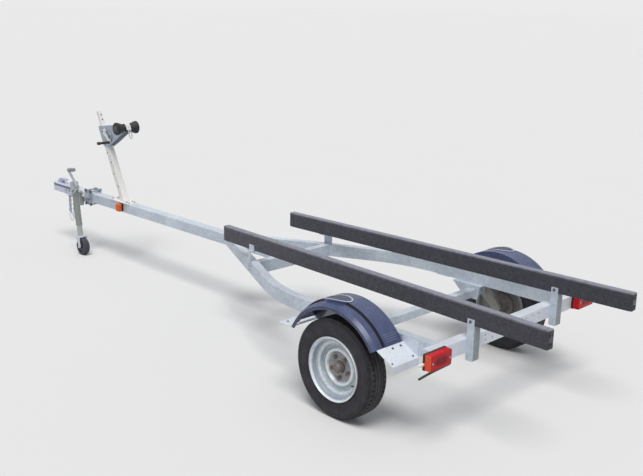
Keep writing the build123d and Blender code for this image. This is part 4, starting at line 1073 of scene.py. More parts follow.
    @staticmethod
    def repeat(piece: Piece, places: Sequence[Sequence[float]]) -> Piece:
        """Copies a piece from the first of its places to the others.

        Args:
            piece: Piece that stands at the first place.
            places: All the places.

        Returns:
            The piece, joined with its copies.
        """
        copies = [Bench.copy(piece, Matrix.Translation(Vector(place) - Vector(places[0]))) for place in places[1:]]
        return Bench.join(piece.name, [piece, *copies])

    @staticmethod
    def join(name: str, pieces: Sequence[Piece]) -> Piece:
        """Joins pieces into one object.

        Args:
            name: Name of the joined piece.
            pieces: Pieces to join.

        Returns:
            The joined piece.
        """
        Bench.choose(*pieces)
        if len(pieces) > 1:
            bpy.ops.object.join()
        pieces[0].name = name
        return pieces[0]


class Workshop:
    """Finishes pieces: gives them a material and a body, and logs them."""

    def __init__(self) -> None:
        """Starts with no materials built."""
        self.materials: dict[str, Material] = {}

    def stock(self, finish: Finish) -> Material:
        """Gives a finish's material, built once.

        Args:
            finish: The finish.

        Returns:
            Its material.
        """
        if finish.name not in self.materials:
            self.materials[finish.name] = finish.build()
        return self.materials[finish.name]

    def paint_node(self, node: str, finish: Finish) -> None:
        """Gives a CAD node its material.

        Args:
            node: Name of the CAD node.
            finish: The finish.
        """
        target = NODES[node]
        material = self.stock(finish)
        if not target.data.materials:
            target.data.materials.append(material)
        for number in range(len(target.data.materials)):
            target.data.materials[number] = material

    def deliver(self, piece: Piece, finish: Finish, slot: str, body: str = "trailer",
                replaces: Sequence[str] = ()) -> None:
        """Finishes a new piece and fixes it to its body.

        Args:
            piece: The new piece.
            finish: Its finish.
            slot: Not used.
            body: CAD body that carries it.
            replaces: CAD nodes it stands for.
        """
        piece.data.materials.clear()
        piece.data.materials.append(self.stock(finish))
        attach(piece, body)
        if replaces:
            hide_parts(*replaces)
        LOG.info("%s: %d faces on %s", piece.name, len(piece.data.polygons), body)


# Places read from the frame

def middle(node: str) -> Vector:
    """Centre of a CAD node's box."""
    low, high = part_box(node)
    return (low + high) / 2


AXLE = middle("left_tyre")
AXLE_X = AXLE.x
WHEEL_Y = AXLE.y
WHEEL_Z = AXLE.z
AXLE_LINE = Vector((0, 1, 0))
FRAME_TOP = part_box("rear_cross_member")[1].z
FRAME_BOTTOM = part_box("rear_cross_member")[0].z


def ahead(distance_mm: float) -> float:
    """X of a station measured in millimetres forward of the wheel centres."""
    return AXLE_X + distance_mm * MM


# Finishes of this trailer

STEEL = Galvanised("galvanised tube")
BRIGHT_STEEL = Galvanised("bright galvanised tube", pale=(0.96, 0.95, 0.92), dark=(0.84, 0.82, 0.79), metallic=0.0)
PLATE = Galvanised("galvanised plate", pale=(0.82, 0.86, 0.93), dark=(0.62, 0.67, 0.76), spangle=0.010, metallic=0.15)
WINCH_PLATE = Galvanised("winch plate", pale=(0.50, 0.57, 0.65), dark=(0.33, 0.39, 0.47), spangle=0.008)
MOUNT_ZINC = Galvanised("jack mount zinc", pale=(0.52, 0.55, 0.62), dark=(0.28, 0.31, 0.36), spangle=0.009)
CRANK_ZINC = Galvanised("crank zinc", pale=(0.84, 0.86, 0.90), dark=(0.66, 0.69, 0.74), spangle=0.005, metallic=0.1)
ARM_STEEL = Galvanised("dull arm", pale=(0.40, 0.39, 0.36), dark=(0.24, 0.235, 0.215), dust=0.3)
# The coupler's band is painted shadow between its top and its side
COUPLER_ZINC = Galvanised("coupler zinc", pale=(0.76, 0.78, 0.92), dark=(0.48, 0.51, 0.66), spangle=0.009,
                          band=(0.468, 0.486))
# Darker zinc of the bracket returns, as painted shade on their rear-facing strip
SHADED_RETURN_ZINC = Galvanised("bracket return painted shade", pale=(0.34, 0.39, 0.41), dark=(0.22, 0.26, 0.28), spangle=0.009)
LATCH_ZINC = Galvanised("coupler latch zinc", pale=(0.60, 0.64, 0.80), dark=(0.38, 0.42, 0.56), spangle=0.009)
ZINC = Plated("bright zinc", colour=(0.88, 0.89, 0.91), roughness=0.30)
CHAIN_ZINC = Plated("chain zinc", colour=(0.52, 0.54, 0.62), roughness=0.38, bright_below=0.262)
GEAR_ZINC = Plated("gear zinc", colour=(0.50, 0.53, 0.57), roughness=0.40)
BOLT_ZINC = Plated("bolt zinc", colour=(0.52, 0.53, 0.55), roughness=0.38)
DARK_BOLT = Plated("weathered bolt", colour=(0.18, 0.17, 0.18), roughness=0.5, dust=0.1)
WELD = Plated("weld seam", colour=(0.62, 0.65, 0.69), roughness=0.45)
HUB_IRON = RustedIron("hub iron")
# The fender's blue, also in its dust, is partly its plastic and partly painted sky reflection
FENDER_PLASTIC_SKY_REFLECTION = Moulded("fender plastic and painted sky reflection", (0.035, 0.050, 0.128), roughness=0.27, depth=0.00012, dust=0.12,
                         dusty=(0.27, 0.31, 0.42))
# The rolled lip's lighter grey is painted highlight
FENDER_LIP_HIGHLIGHT = Moulded("fender lip painted highlight", (0.085, 0.078, 0.082), roughness=0.24, depth=0.0001, dust=0.25,
                     dusty=(0.30, 0.27, 0.26))
# The groove's near black is painted shade
FENDER_GROOVE_SHADE = Moulded("fender groove painted shade", (0.004, 0.005, 0.012), roughness=0.8, dust=0.0)
# The ribs' lighter blue is painted highlight
FENDER_RIB_HIGHLIGHT = Moulded("fender rib painted highlight", (0.13, 0.15, 0.22), roughness=0.3, depth=0.0001, dust=0.1)
PAD_RUBBER = Moulded("fender pad rubber", (0.026, 0.028, 0.045), roughness=0.5, dust=0.2, dusty=(0.26, 0.27, 0.33))
# The pad rim's pale grey is painted highlight
PAD_RIM_HIGHLIGHT = Moulded("fender pad rim painted highlight", (0.42, 0.44, 0.52), roughness=0.30, dust=0.1)
LAMP_PLASTIC = Moulded("lamp base plastic", (0.010, 0.010, 0.012), roughness=0.45, dust=0.1)
WHITE_PLUG = Moulded("lead connector", (0.84, 0.85, 0.86), roughness=0.4, dust=0.1, dusty=(0.6, 0.6, 0.58))
BOW_RUBBER = Moulded("bow stop rubber", (0.006, 0.007, 0.011), roughness=0.50, dust=0.03)
BLACK_GRIP = Moulded("black grip", (0.020, 0.016, 0.014), roughness=0.42, dust=0.1)
GREY_GRIP = Moulded("grey grip", (0.24, 0.26, 0.29), roughness=0.5, dust=0.1)
ROLLER_PLASTIC = Moulded("jack wheel plastic", (0.030, 0.030, 0.052), roughness=0.46, dust=0.1)
HOLE_SHADE = Moulded("hole shade", (0.015, 0.014, 0.013), roughness=0.8, dust=0.0)
JACK_PAINT = Painted("jack paint", (0.25, 0.285, 0.262), dust=0.12)
GEARBOX_PAINT = Painted("jack gearbox paint", (0.46, 0.52, 0.56), dust=0.1)
LEG_STEEL = Plated("jack leg steel", colour=(0.48, 0.54, 0.52), roughness=0.42)
STRAP = Webbing("strap webbing")
SEAM_CARPET = Moulded("carpet underside", (0.030, 0.030, 0.036), roughness=0.95, grain=0.003, depth=0.0008, dust=0.0)

SIDE_FINISHES: dict[str, Finish] = {
    "safety_chain": CHAIN_ZINC, "trailing_arm": ARM_STEEL, "wheel_hub": HUB_IRON, "fender": FENDER_PLASTIC_SKY_REFLECTION,
    "tail_lamp_base": LAMP_PLASTIC, "fender_rear_step": PLATE, "fender_front_bracket": PLATE,
}
NODE_FINISHES: dict[str, Finish] = {
    **{f"{side}_{part}": finish for side, _ in SIDES for part, finish in SIDE_FINISHES.items()},
    "coupler_body": COUPLER_ZINC, "coupler_latch": LATCH_ZINC, "rear_cross_member": PLATE,
    "bow_stop": BOW_RUBBER, "bow_stop_shaft": GEAR_ZINC, "winch_post": BRIGHT_STEEL, "winch_mast": BRIGHT_STEEL,
    "winch_bracket": WINCH_PLATE, "winch_drum": GEAR_ZINC, "winch_crank": CRANK_ZINC, "winch_grip": BLACK_GRIP,
    "winch_strap_roll": STRAP, "winch_strap": STRAP, "winch_hook": BOLT_ZINC, "jack_mount": MOUNT_ZINC,
    "jack_tube": JACK_PAINT, "jack_gearbox": GEARBOX_PAINT, "jack_crank": CRANK_ZINC, "jack_grip": GREY_GRIP,
    "jack_leg": LEG_STEEL, "jack_fork": CRANK_ZINC, "jack_wheel": ROLLER_PLASTIC,
}


@dataclass
class Surfaces:
    """Finishes of the CAD nodes."""

    workshop: Workshop
    # Reach of the tail lens's painted sunlit end, and the depth of the marker's base
    amber_reach: float = 0.003
    marker_base: float = 0.014

    def dress(self) -> None:
        """Gives every CAD node its finish."""
        tongue_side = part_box("tongue_beam")[1].y
        for name in NODES:
            self.workshop.paint_node(name, NODE_FINISHES.get(name, STEEL))
        for side, sign in SIDES:
            axle = (AXLE_X, sign * WHEEL_Y, WHEEL_Z)
            lens_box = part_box(f"{side}_tail_lamp_lens")
            outer = max(abs(corner.y) for corner in lens_box)
            # The tail lens's outer end is painted sunlit
            self.workshop.paint_node(f"{side}_tail_lamp_lens",
                                     TailLens(f"{side} tail lens", tuple(middle(f"{side}_tail_lamp_lens")),
                                              outer - self.amber_reach, sign))
            self.workshop.paint_node(f"{side}_marker_lamp",
                                     Lens(f"{side} marker lens", (0.020, 0.006, 0.006), (0.90, 0.17, 0.02),
                                          end_from=tongue_side + self.marker_base, side=sign))
            self.workshop.paint_node(f"{side}_wheel_rim", WheelRim(f"{side} rim zinc", axle))


@dataclass
class Fasteners:
    """Hex bolts with washers, and drilled holes, modelled once a row and copied to their places.

    A bolt's measures are shares of its size, and end_height and end_rise are shares of its head's height.
    """

    workshop: Workshop
    head_height: float = 0.65
    head_rounding: float = 0.1
    washer_width: float = 1.25
    washer_height: float = 0.18
    washer_rounding: float = 0.05
    end_width: float = 0.5
    end_height: float = 0.3
    end_rounding: float = 0.08
    end_rise: float = 1.1
    hole_edge: Section = ((-0.0002, 0.0), (0.0007, 0.0003), (0.0006, 0.0012), (-0.0002, 0.0016))
    hole_shade_half: float = 0.0003

    def bolt(self, name: str, place: Sequence[float], axis: Vector, size: float) -> Piece:
        """Makes one bolt head on its washer, with the bolt's end standing out of it.

        Args:
            name: Name of the piece.
            place: Point on the surface under the washer.
            axis: Direction the head faces.
            size: Half of the head's width across corners, in metres.

        Returns:
            The piece, not yet delivered.
        """
        axis = axis.normalized()
        washer_thick = size * self.washer_height
        head_thick = size * self.head_height
        washer = Bench.cylinder(name, Vector(place) + axis * washer_thick / 2, axis,
                                size * self.washer_width, washer_thick, 24, size * self.washer_rounding)
        head = Bench.cylinder(name, Vector(place) + axis * (washer_thick + head_thick / 2), axis,
                              size, head_thick, 6, size * self.head_rounding)
        end = Bench.cylinder(name, Vector(place) + axis * (washer_thick + head_thick * self.end_rise), axis,
                             size * self.end_width, head_thick * self.end_height, 16, size * self.end_rounding)
        return Bench.join(name, [washer, head, end])

    def row(self, name: str, places: Sequence[Sequence[float]], axis: Vector, size: float, body: str = "trailer",
            finish: Finish = BOLT_ZINC) -> None:
        """Delivers like bolts as one piece.

        Args:
            name: Name of the piece.
            places: Points on the surface under the washers.
            axis: Direction the heads face.
            size: Half of the head's width across corners.
            body: CAD body that carries them.
            finish: Their finish.
        """
        bolts = Bench.repeat(self.bolt(name, places[0], axis, size), places)
        self.workshop.deliver(bolts, finish, "zinc_hardware", body)

    def holes(self, name: str, places: Sequence[Sequence[float]], axis: Vector, radius: float,
              body: str = "trailer") -> None:
        """Marks drilled holes: a raised zinc edge round a dark disc.

        Args:
            name: Name of the pieces.
            places: Centres on the surface.
            axis: Direction that the surface faces.
            radius: Radius of the hole.
            body: CAD body that carries them.
        """
        edge_profile = [(along, radius + beyond) for along, beyond in self.hole_edge]
        edge = Bench.lathe(name + "_edges", edge_profile, places[0], axis, steps=20)
        half = self.hole_shade_half
        disc = Bench.lathe(name + "_shade", [(half, 0.0), (half, radius), (-half, radius), (-half, 0.0)],
                           places[0], axis, steps=20, closed=False)
        for piece, finish in ((edge, WELD), (disc, HOLE_SHADE)):
            self.workshop.deliver(Bench.repeat(piece, places), finish, "zinc_hardware", body)


@dataclass
class Welds:
    """Weld beads along the joints of the frame."""

    workshop: Workshop
    radius: float = 0.0032

    def seams(self, name: str, runs: Sequence[tuple[Point, Point]], body: str = "trailer",
              radius: float | None = None) -> None:
        """Delivers the beads of one joint as one piece.

        Args:
            name: Name of the piece.
            runs: First and last point of each bead.
            body: CAD body that carries them.
            radius: Radius of the beads, if not the usual one.
        """
        beads = [Bench.bead(name, first, last, radius or self.radius) for first, last in runs]
        self.workshop.deliver(Bench.join(name, beads), WELD, "galvanised", body)


@dataclass
class Assembly:
    """Base of the sub-assemblies: the tools that they share."""

    workshop: Workshop
    fasteners: Fasteners
    welds: Welds


@dataclass
class SideAssembly(Assembly):
    """Base of the sub-assemblies that stand on both sides, with the side's name and sign of Y."""

    side: str
    sign: int


@dataclass
class Wheel(SideAssembly):
    """Tyre with its tread and sidewall rings, and the valve in the rim."""

    steps: int = 180
    crown_radius: float = 0.2652
    crown_half: float = 0.0475
    crown_drop: float = 0.0027
    grooves: tuple[float, ...] = (0.030, 0.012, -0.012, -0.030)
    groove_half: float = 0.0024
    groove_floor_share: float = 0.6
    groove_depth: float = 0.006
    lug_inset: float = 0.0015
    lug_rise: float = 0.0036
    shoulder_reach: Pair = (0.0505, 0.0560)
    shoulder_radius: float = 0.2470
    slot_every: int = 3
    slot_reach: Pair = (0.033, 0.047)
    slot_lean: float = 0.2
    slot_inset: float = 0.0006
    slot_sink: float = -0.0034
    crease: float = math.radians(24)
    valve_seat: Pair = (0.024, 0.140)
    valve_turn: float = math.radians(205)
    valve_lean: Pair = (0.92, 0.39)
    valve_section: Section = (
        (-0.002, 0.0), (-0.002, 0.0075), (0.002, 0.0075), (0.004, 0.0050), (0.012, 0.0042), (0.013, 0.0036),
        (0.015, 0.0036), (0.015, 0.0044), (0.022, 0.0044), (0.023, 0.0036), (0.023, 0.0))

    def crown(self, across: float) -> float:
        """Radius of the tread across the tyre."""
        return self.crown_radius - self.crown_drop * (across / self.crown_half) ** 2

    def section(self) -> list[Pair]:
        """Section of the tyre from its outer bead over the tread to its inner bead.

        Returns:
            Points as distance across the tyre and radius.
        """
        wall = [(0.0500, 0.156), (0.0502, 0.168), (0.0528, 0.1745), (0.0562, 0.182), (0.0580, 0.1880),
                (0.0597, 0.1905), (0.0597, 0.1925), (0.0583, 0.1945), (0.0592, 0.204), (0.0597, 0.216),
                (0.0590, 0.2290), (0.0600, 0.2310), (0.0600, 0.2345), (0.0586, 0.2365), (0.0583, 0.2450),
                (self.crown_half, self.crown(self.crown_half))]
        tread = []
        for groove in self.grooves:
            floor = self.crown(groove) - self.groove_depth
            half, floor_half = self.groove_half, self.groove_half * self.groove_floor_share
            tread += [(groove + half, self.crown(groove)), (groove + floor_half, floor), (groove - floor_half, floor),
                      (groove - half, self.crown(groove))]
        return wall + tread + [(-across, radius) for across, radius in reversed(wall)]

    def shoulder(self, face: Face) -> bool:
        """Tells whether a face lies on the tyre's shoulder.

        Args:
            face: Face of the tyre.

        Returns:
            Whether it does.
        """
        across = abs(face.center.y - self.sign * WHEEL_Y)
        radius = math.hypot(face.center.x - AXLE_X, face.center.z - WHEEL_Z)
        return self.shoulder_reach[0] < across < self.shoulder_reach[1] and radius > self.shoulder_radius

    def slot(self, face: Face) -> bool:
        """Tells whether a face of an outer tread rib is one of those sunk as slots.

        Args:
            face: Face of the tyre.

        Returns:
            Whether it is.
        """
        across = abs(face.center.y - self.sign * WHEEL_Y)
        along = math.atan2(face.center.z - WHEEL_Z, face.center.x - AXLE_X) / math.tau * self.steps
        outer_rib = self.slot_reach[0] < across < self.slot_reach[1]
        return outer_rib and face.normal.y ** 2 < self.slot_lean and math.floor(along) % self.slot_every == 0

    def build(self) -> None:
        """Builds the tyre and the valve."""
        body = f"{self.side}_wheel"
        centre = (AXLE_X, self.sign * WHEEL_Y, WHEEL_Z)
        tyre = Bench.lathe(f"{self.side}_treaded_tyre", self.section(), centre, AXLE_LINE, steps=self.steps)
        Bench.raise_faces(tyre, self.shoulder, self.lug_inset, self.lug_rise)
        Bench.raise_faces(tyre, self.slot, self.slot_inset, self.slot_sink)
        bpy.ops.object.shade_smooth_by_angle(angle=self.crease)
        self.workshop.deliver(tyre, TyreRubber(f"{self.side} tyre rubber", centre), "tyre_rubber", body,
                              [f"{self.side}_tyre"])
        spoke = Vector((math.cos(self.valve_turn), 0, math.sin(self.valve_turn)))
        out = Vector((0, self.sign, 0))
        seat = Vector(centre) + out * self.valve_seat[0] + spoke * self.valve_seat[1]
        axis = out * self.valve_lean[0] - spoke * self.valve_lean[1]
        valve = Bench.lathe(f"{self.side}_valve", self.valve_section, seat, axis, steps=16, closed=False)
        self.workshop.deliver(valve, LAMP_PLASTIC, "tyre_rubber", body)


@dataclass
class Fender(SideAssembly):
    """Rolled lip, end ribs, oval step pad and fastenings of a fender."""

    band_radius: float = 0.355
    band_outer_reach: float = 0.005
    groove_section: Section = (
        (-0.0010, -0.0020), (-0.0010, 0.0008), (0.0008, 0.0008), (0.0052, -0.0090), (0.0096, -0.0098),
        (0.0096, -0.0120), (0.0040, -0.0120))
    lip_radius: float = 0.3150
    lip_bead: float = 0.0046
    front_turn: float = math.radians(28.5)
    rear_turn: float = math.radians(146.6)
    rib_turns: tuple[float, ...] = (143.6, 141.7, 139.8, 137.9)
    rib_size: Point = (0.0030, 0.092, 0.0030)
    rib_across: float = -0.0555
    rib_rise: float = 0.0004
    pad_centre: Pair = (0.042, -0.017)
    pad_half_length: float = 0.090
    pad_half_width: float = 0.050
    pad_rise: float = 0.0025
    rim_inset: float = 0.004
    rim_width: float = 0.06
    rim_height: float = 0.03
    stud_pitch: float = 0.0095
    stud_margin: float = 0.013
    stud_rise: float = 0.0006
    stud_radii: Pair = (0.0048, 0.0018)
    stud_height: float = 0.0016
    step_up: Point = (-0.46, 0, 0.888)
    step_down_slope: Point = (-0.888, 0, -0.46)
    step_top: Pair = (-295, 0.4556)
    step_sheet: float = 0.0021
    step_bolts: tuple[tuple[str, float, Pair, float], ...] = (("top", 0.020, (-0.088, -0.030), 0.0052),
                                                              ("foot", 0.098, (-0.100, 0.050), 0.0042))
    rail_bolt_y: float = 0.567

    def place(self, turn: float, radius: float, across: float) -> Vector:
        """A point at a turn and radius about the axle, and at a reach outward of the wheel's plane."""
        return Vector((AXLE_X + radius * math.cos(turn), self.sign * (WHEEL_Y + across),
                       WHEEL_Z + radius * math.sin(turn)))

    def lip(self) -> None:
        """Spins the rolled bead along the fender's outer and inner lips, painted lighter as highlight, and the step
        beside the band, painted dark as shade.
        """
        start = Vector((math.cos(self.rear_turn), 0, math.sin(self.rear_turn)))
        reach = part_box(f"{self.side}_fender")
        outer = max(abs(corner.y) for corner in reach) - self.lip_bead
        inner = min(abs(corner.y) for corner in reach) + self.lip_bead
        arc = self.rear_turn - self.front_turn
        turns = [number * math.pi / 4 for number in range(8)]
        beads = []
        for across in (outer, inner):
            ring = [(self.sign * across + self.lip_bead * math.cos(turn),
                     self.lip_radius + self.lip_bead * math.sin(turn)) for turn in turns]
            beads.append(Bench.lathe("lip", ring, (AXLE_X, 0, WHEEL_Z), AXLE_LINE, steps=48, start=start, angle=arc))
        self.workshop.deliver(Bench.join(f"{self.side}_fender_lip", beads), FENDER_LIP_HIGHLIGHT, "fender_plastic")
        # The step beside the band is painted dark as shade
        groove_y = self.sign * (WHEEL_Y + self.band_outer_reach)
        profile = [(groove_y + self.sign * out, self.band_radius + rise) for out, rise in self.groove_section]
        edge = Bench.lathe(f"{self.side}_fender_band_edge", profile, (AXLE_X, 0, WHEEL_Z), AXLE_LINE, steps=48,
                           start=start, angle=arc)
        Bench.bevel(edge, 0.0006)
        self.workshop.deliver(edge, FENDER_GROOVE_SHADE, "fender_plastic")

    def ribs(self) -> None:
        """Makes the plain ribs across the fender's rear end, painted lighter as highlight."""
        ribs = []
        for degrees in self.rib_turns:
            turn = math.radians(degrees)
            centre = self.place(turn, self.band_radius + self.rib_rise, self.rib_across)
            ribs.append(Bench.block("rib", centre, self.rib_size, (0, math.pi / 2 - turn, 0), 0.0010))
        self.workshop.deliver(Bench.join(f"{self.side}_fender_ribs", ribs), FENDER_RIB_HIGHLIGHT, "fender_plastic")

    def lifted(self, x: float, y: float, extra: float) -> Vector:
        """A point over the band's curve, above the pad's centre.

        Args:
            x: Place along the pad from its centre.
            y: Place across the pad from its centre.
            extra: Height over the pad's surface.

        Returns:
            The point in the row frame.
        """
        radius = self.band_radius + self.pad_rise + extra
        along = self.pad_centre[0] + x
        return Vector((AXLE_X + along, self.sign * (WHEEL_Y + self.pad_centre[1]) + y,
                       WHEEL_Z + math.sqrt(radius ** 2 - along ** 2)))

    def pad(self) -> None:
        """Makes the oval pad's rim, painted pale as highlight, and the studs of its knurled face."""
        Bench.clear()
        bpy.ops.mesh.primitive_torus_add(major_radius=1.0, minor_radius=0.07, major_segments=72, minor_segments=10)
        rim = bpy.context.object
        rim.name = f"{self.side}_fender_pad_rim"
        for vertex in rim.data.vertices:
            flat = Vector((vertex.co.x, vertex.co.y, 0))
            spread = flat.length - 1.0
            direction = flat.normalized()
            edge = (direction.x * (self.pad_half_length - self.rim_inset),
                    direction.y * (self.pad_half_width - self.rim_inset))
            width = self.rim_width * spread
            vertex.co = self.lifted(edge[0] + direction.x * width, edge[1] + direction.y * width,
                                    self.rim_height * vertex.co.z)
        Bench.settle(rim)
        bpy.ops.object.shade_smooth()
        self.workshop.deliver(rim, PAD_RIM_HIGHLIGHT, "fender_plastic")
        Bench.clear()
        bpy.ops.mesh.primitive_cone_add(vertices=4, radius1=self.stud_radii[0], radius2=self.stud_radii[1],
                                        depth=self.stud_height)
        stud = bpy.context.object
        stud.name = f"{self.side}_fender_pad_studs"
        rows = int(self.pad_half_length / self.stud_pitch)
        half_x, half_y = self.pad_half_length - self.stud_margin, self.pad_half_width - self.stud_margin
        studs = []
        for row in range(-rows, rows + 1):
            for column in range(-rows, rows + 1):
                x = row * self.stud_pitch
                y = (column + 0.5 * (row % 2)) * self.stud_pitch
                if math.hypot(x / half_x, y / half_y) > 1.0:
                    continue
                tilt = math.asin((self.pad_centre[0] + x) / self.band_radius)
                move = Matrix.Translation(self.lifted(x, y, self.stud_rise)) @ Matrix.Rotation(tilt, 4, "Y")
                studs.append(Bench.copy(stud, move))
        bpy.data.objects.remove(stud)
        self.workshop.deliver(Bench.join(f"{self.side}_fender_pad_studs", studs), PAD_RUBBER, "fender_plastic")

    def fastenings(self) -> None:
        """Puts bolts through the fender's ends and its two brackets."""
        plate_low, plate_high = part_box(f"{self.side}_fender_front_bracket")
        slope, run = Vector(self.step_up), Vector(self.step_down_slope)
        top = Vector((ahead(self.step_top[0]), 0, self.step_top[1]))
        for end, down, offsets, size in self.step_bolts:
            spots = [top + run * down + slope * self.step_sheet + Vector((0, self.sign * (WHEEL_Y + offset), 0))
                     for offset in offsets]
            self.fasteners.row(f"{self.side}_step_{end}_bolts", spots, slope, size, finish=DARK_BOLT)
        spots = [(plate_high.x - 0.030, self.sign * (WHEEL_Y + offset), plate_high.z) for offset in (-0.055, 0.030)]
        self.fasteners.row(f"{self.side}_front_plate_bolts", spots, UP, 0.0065)
        spots = [(plate_low.x + offset, self.sign * self.rail_bolt_y, plate_low.z) for offset in (0.025, 0.069)]
        self.fasteners.row(f"{self.side}_front_plate_rail_bolts", spots, -UP, 0.0075)

    def build(self) -> None:
        """Builds the fender's trim."""
        self.lip()
        self.ribs()
        self.pad()
        self.fastenings()


@dataclass
class Bunk(SideAssembly):
    """Bunk board wrapped in carpet, with its folded ends, seam and staples."""

    length: float = 2.446
    thickness: float = 0.046
    height: float = 0.098
    skew: float = math.atan2(0.105, 2.446)
    rounding: float = 0.007
    nap: float = 0.0024
    nap_scale: float = 0.010
    cuts: tuple[tuple[Point, int], ...] = (((1, 0, 0), 15), ((1, 0, 0), 21), ((0, 0, 1), 11), ((0, 1, 0), 4))
    flap_y: float = 0.004
    flap_size: Pair = (0.024, 0.0022)
    fold_size: Point = (0.0024, 0.036, 0.030)
    fold_reach: float = 0.027
    staples: int = 22
    staple_size: Point = (0.011, 0.0012, 0.0012)
    staple_inset: float = 0.06
    end_staples: tuple[float, ...] = (0.032, 0.012, -0.012, -0.032)

    def board(self) -> None:
        """Builds the carpeted board in place of its CAD solid."""
        node = f"{self.side}_bunk"
        Bench.clear()
        bpy.ops.mesh.primitive_cube_add(size=1.0, scale=(self.length, self.thickness, self.height))
        board = bpy.context.object
        board.name = f"{self.side}_carpeted_bunk"
        Bench.settle(board)
        Bench.bevel(board, self.rounding, 3)
        for direction, cuts in self.cuts:
            Bench.divide(board, Vector(direction), cuts)
        texture = bpy.data.textures.new(f"{self.side} carpet nap", "CLOUDS")
        texture.noise_scale = self.nap_scale
        texture.noise_depth = 2
        modifier = board.modifiers.new("nap", "DISPLACE")
        modifier.texture = texture
        modifier.texture_coords = "LOCAL"
        modifier.strength = self.nap
        modifier.mid_level = 0.6
        bpy.ops.object.modifier_apply(modifier=modifier.name)
        bpy.data.textures.remove(texture)
        bpy.ops.object.shade_smooth()
        board.location = middle(node)
        board.rotation_euler = (0, 0, -self.sign * self.skew)
        Bench.settle(board)
        bpy.ops.object.shade_smooth()
        self.workshop.deliver(board, Carpet("bunk carpet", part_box(node)[1].z), "bunk_carpet", replaces=[node])

    def seam(self) -> None:
        """Lays the carpet's overlap along the underside, with staples along it and across both ends."""
        centre = middle(f"{self.side}_bunk")
        turn = Matrix.Translation(centre) @ Matrix.Rotation(-self.sign * self.skew, 4, "Z")
        under = -self.height / 2
        flap = Bench.block(f"{self.side}_bunk_seam", (0, self.flap_y, under - 0.0002),
                           (self.length - 0.04, *self.flap_size), rounding=0.0008)
        folds = [Bench.block("fold", (end * (self.length / 2 - 0.0012), 0, offset), self.fold_size, rounding=0.0009)
                 for end in (1, -1) for offset in (self.fold_reach, -self.fold_reach)]
        piece = Bench.join(f"{self.side}_bunk_seam", [flap, *folds])
        piece.data.transform(turn)
        self.workshop.deliver(piece, SEAM_CARPET, "bunk_carpet")
        staple = Bench.block("staple", (0, 0, 0), self.staple_size, rounding=0.0003)
        pitch = (self.length - 2 * self.staple_inset) / (self.staples - 1)
        spots = [Matrix.Translation((number * pitch - self.length / 2 + self.staple_inset, self.flap_y, under - 0.0014))
                 for number in range(self.staples)]
        for end in (1, -1):
            for offset in self.end_staples:
                spots.append(Matrix.Translation((end * (self.length / 2 - 0.0002), 0, offset))
                             @ Matrix.Rotation(math.pi / 2, 4, "Z"))
        rows = [Bench.copy(staple, turn @ spot) for spot in spots]
        bpy.data.objects.remove(staple)
        self.workshop.deliver(Bench.join(f"{self.side}_bunk_staples", rows), BOLT_ZINC, "zinc_hardware")

    def build(self) -> None:
        """Builds the board and its seam."""
        self.board()
        self.seam()


@dataclass
class BunkBrackets(Assembly):
    """Rear returns, painted dark as shade, bolts and weld beads of the bunk brackets."""

    return_width: float = 0.050
    return_sheet: float = 0.005
    plate_sheet: float = 0.0045
    under_bunk: float = 0.5565
    flange_sheet: float = 0.005
    flange_edge: float = 0.0622
    weld_heights: Pair = (0.418, 0.486)
    toe: float = math.radians(26.1)
    bolt_size: float = 0.0068

    def rear(self, side: str) -> None:
        """Adds the return, painted dark as shade, the bolts and the weld of a rear bracket.

        Args:
            side: Name of the bracket's side.
        """
        low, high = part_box(f"{side}_rear_bunk_bracket")
        self.fasteners.row(f"{side}_rear_bracket_bunk_bolt", [(low.x + 0.022, high.y, high.z - 0.013)],
                           Vector((0, 1, 0)), 0.0062, finish=DARK_BOLT)
        centre = (low.x + self.return_sheet / 2, high.y - self.plate_sheet - self.return_width / 2,
                  (self.under_bunk + low.z) / 2)
        # The return is painted dark as shade
        fold = Bench.block(f"{side}_rear_bracket_return", centre,
                           (self.return_sheet, self.return_width, self.under_bunk - low.z), rounding=0.0012)
        self.workshop.deliver(fold, SHADED_RETURN_ZINC, "galvanised")
        spots = [(high.x - self.flange_sheet, high.y - 0.038, height) for height in (0.4360, 0.4680)]
        self.fasteners.row(f"{side}_rear_bracket_bolts", spots, Vector((-1, 0, 0)), self.bolt_size)
        ends = tuple((high.x, high.y - self.flange_edge, height) for height in self.weld_heights)
        self.welds.seams(f"{side}_rear_bracket_weld", [ends], radius=0.002)

    def front(self, side: str, sign: int) -> None:
        """Adds the bolts of a front bracket, on the rail's slanting side.

        Args:
            side: Name of the bracket's side.
            sign: Sign of Y on that side.
        """
        low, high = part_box(f"{side}_front_bunk_bracket")
        centre_x = (low.x + high.x) / 2
        outer = max(abs(low.y), abs(high.y)) - (centre_x - low.x) * math.tan(self.toe)
        spots = [(centre_x, sign * outer, height) for height in (0.4420, 0.4700)]
        axis = Vector((math.sin(self.toe), sign * math.cos(self.toe), 0))
        self.fasteners.row(f"{side}_front_bracket_bolts", spots, axis, self.bolt_size)

    def build(self) -> None:
        """Details all four brackets."""
        for side, sign in SIDES:
            self.rear(side)
            self.front(side, sign)


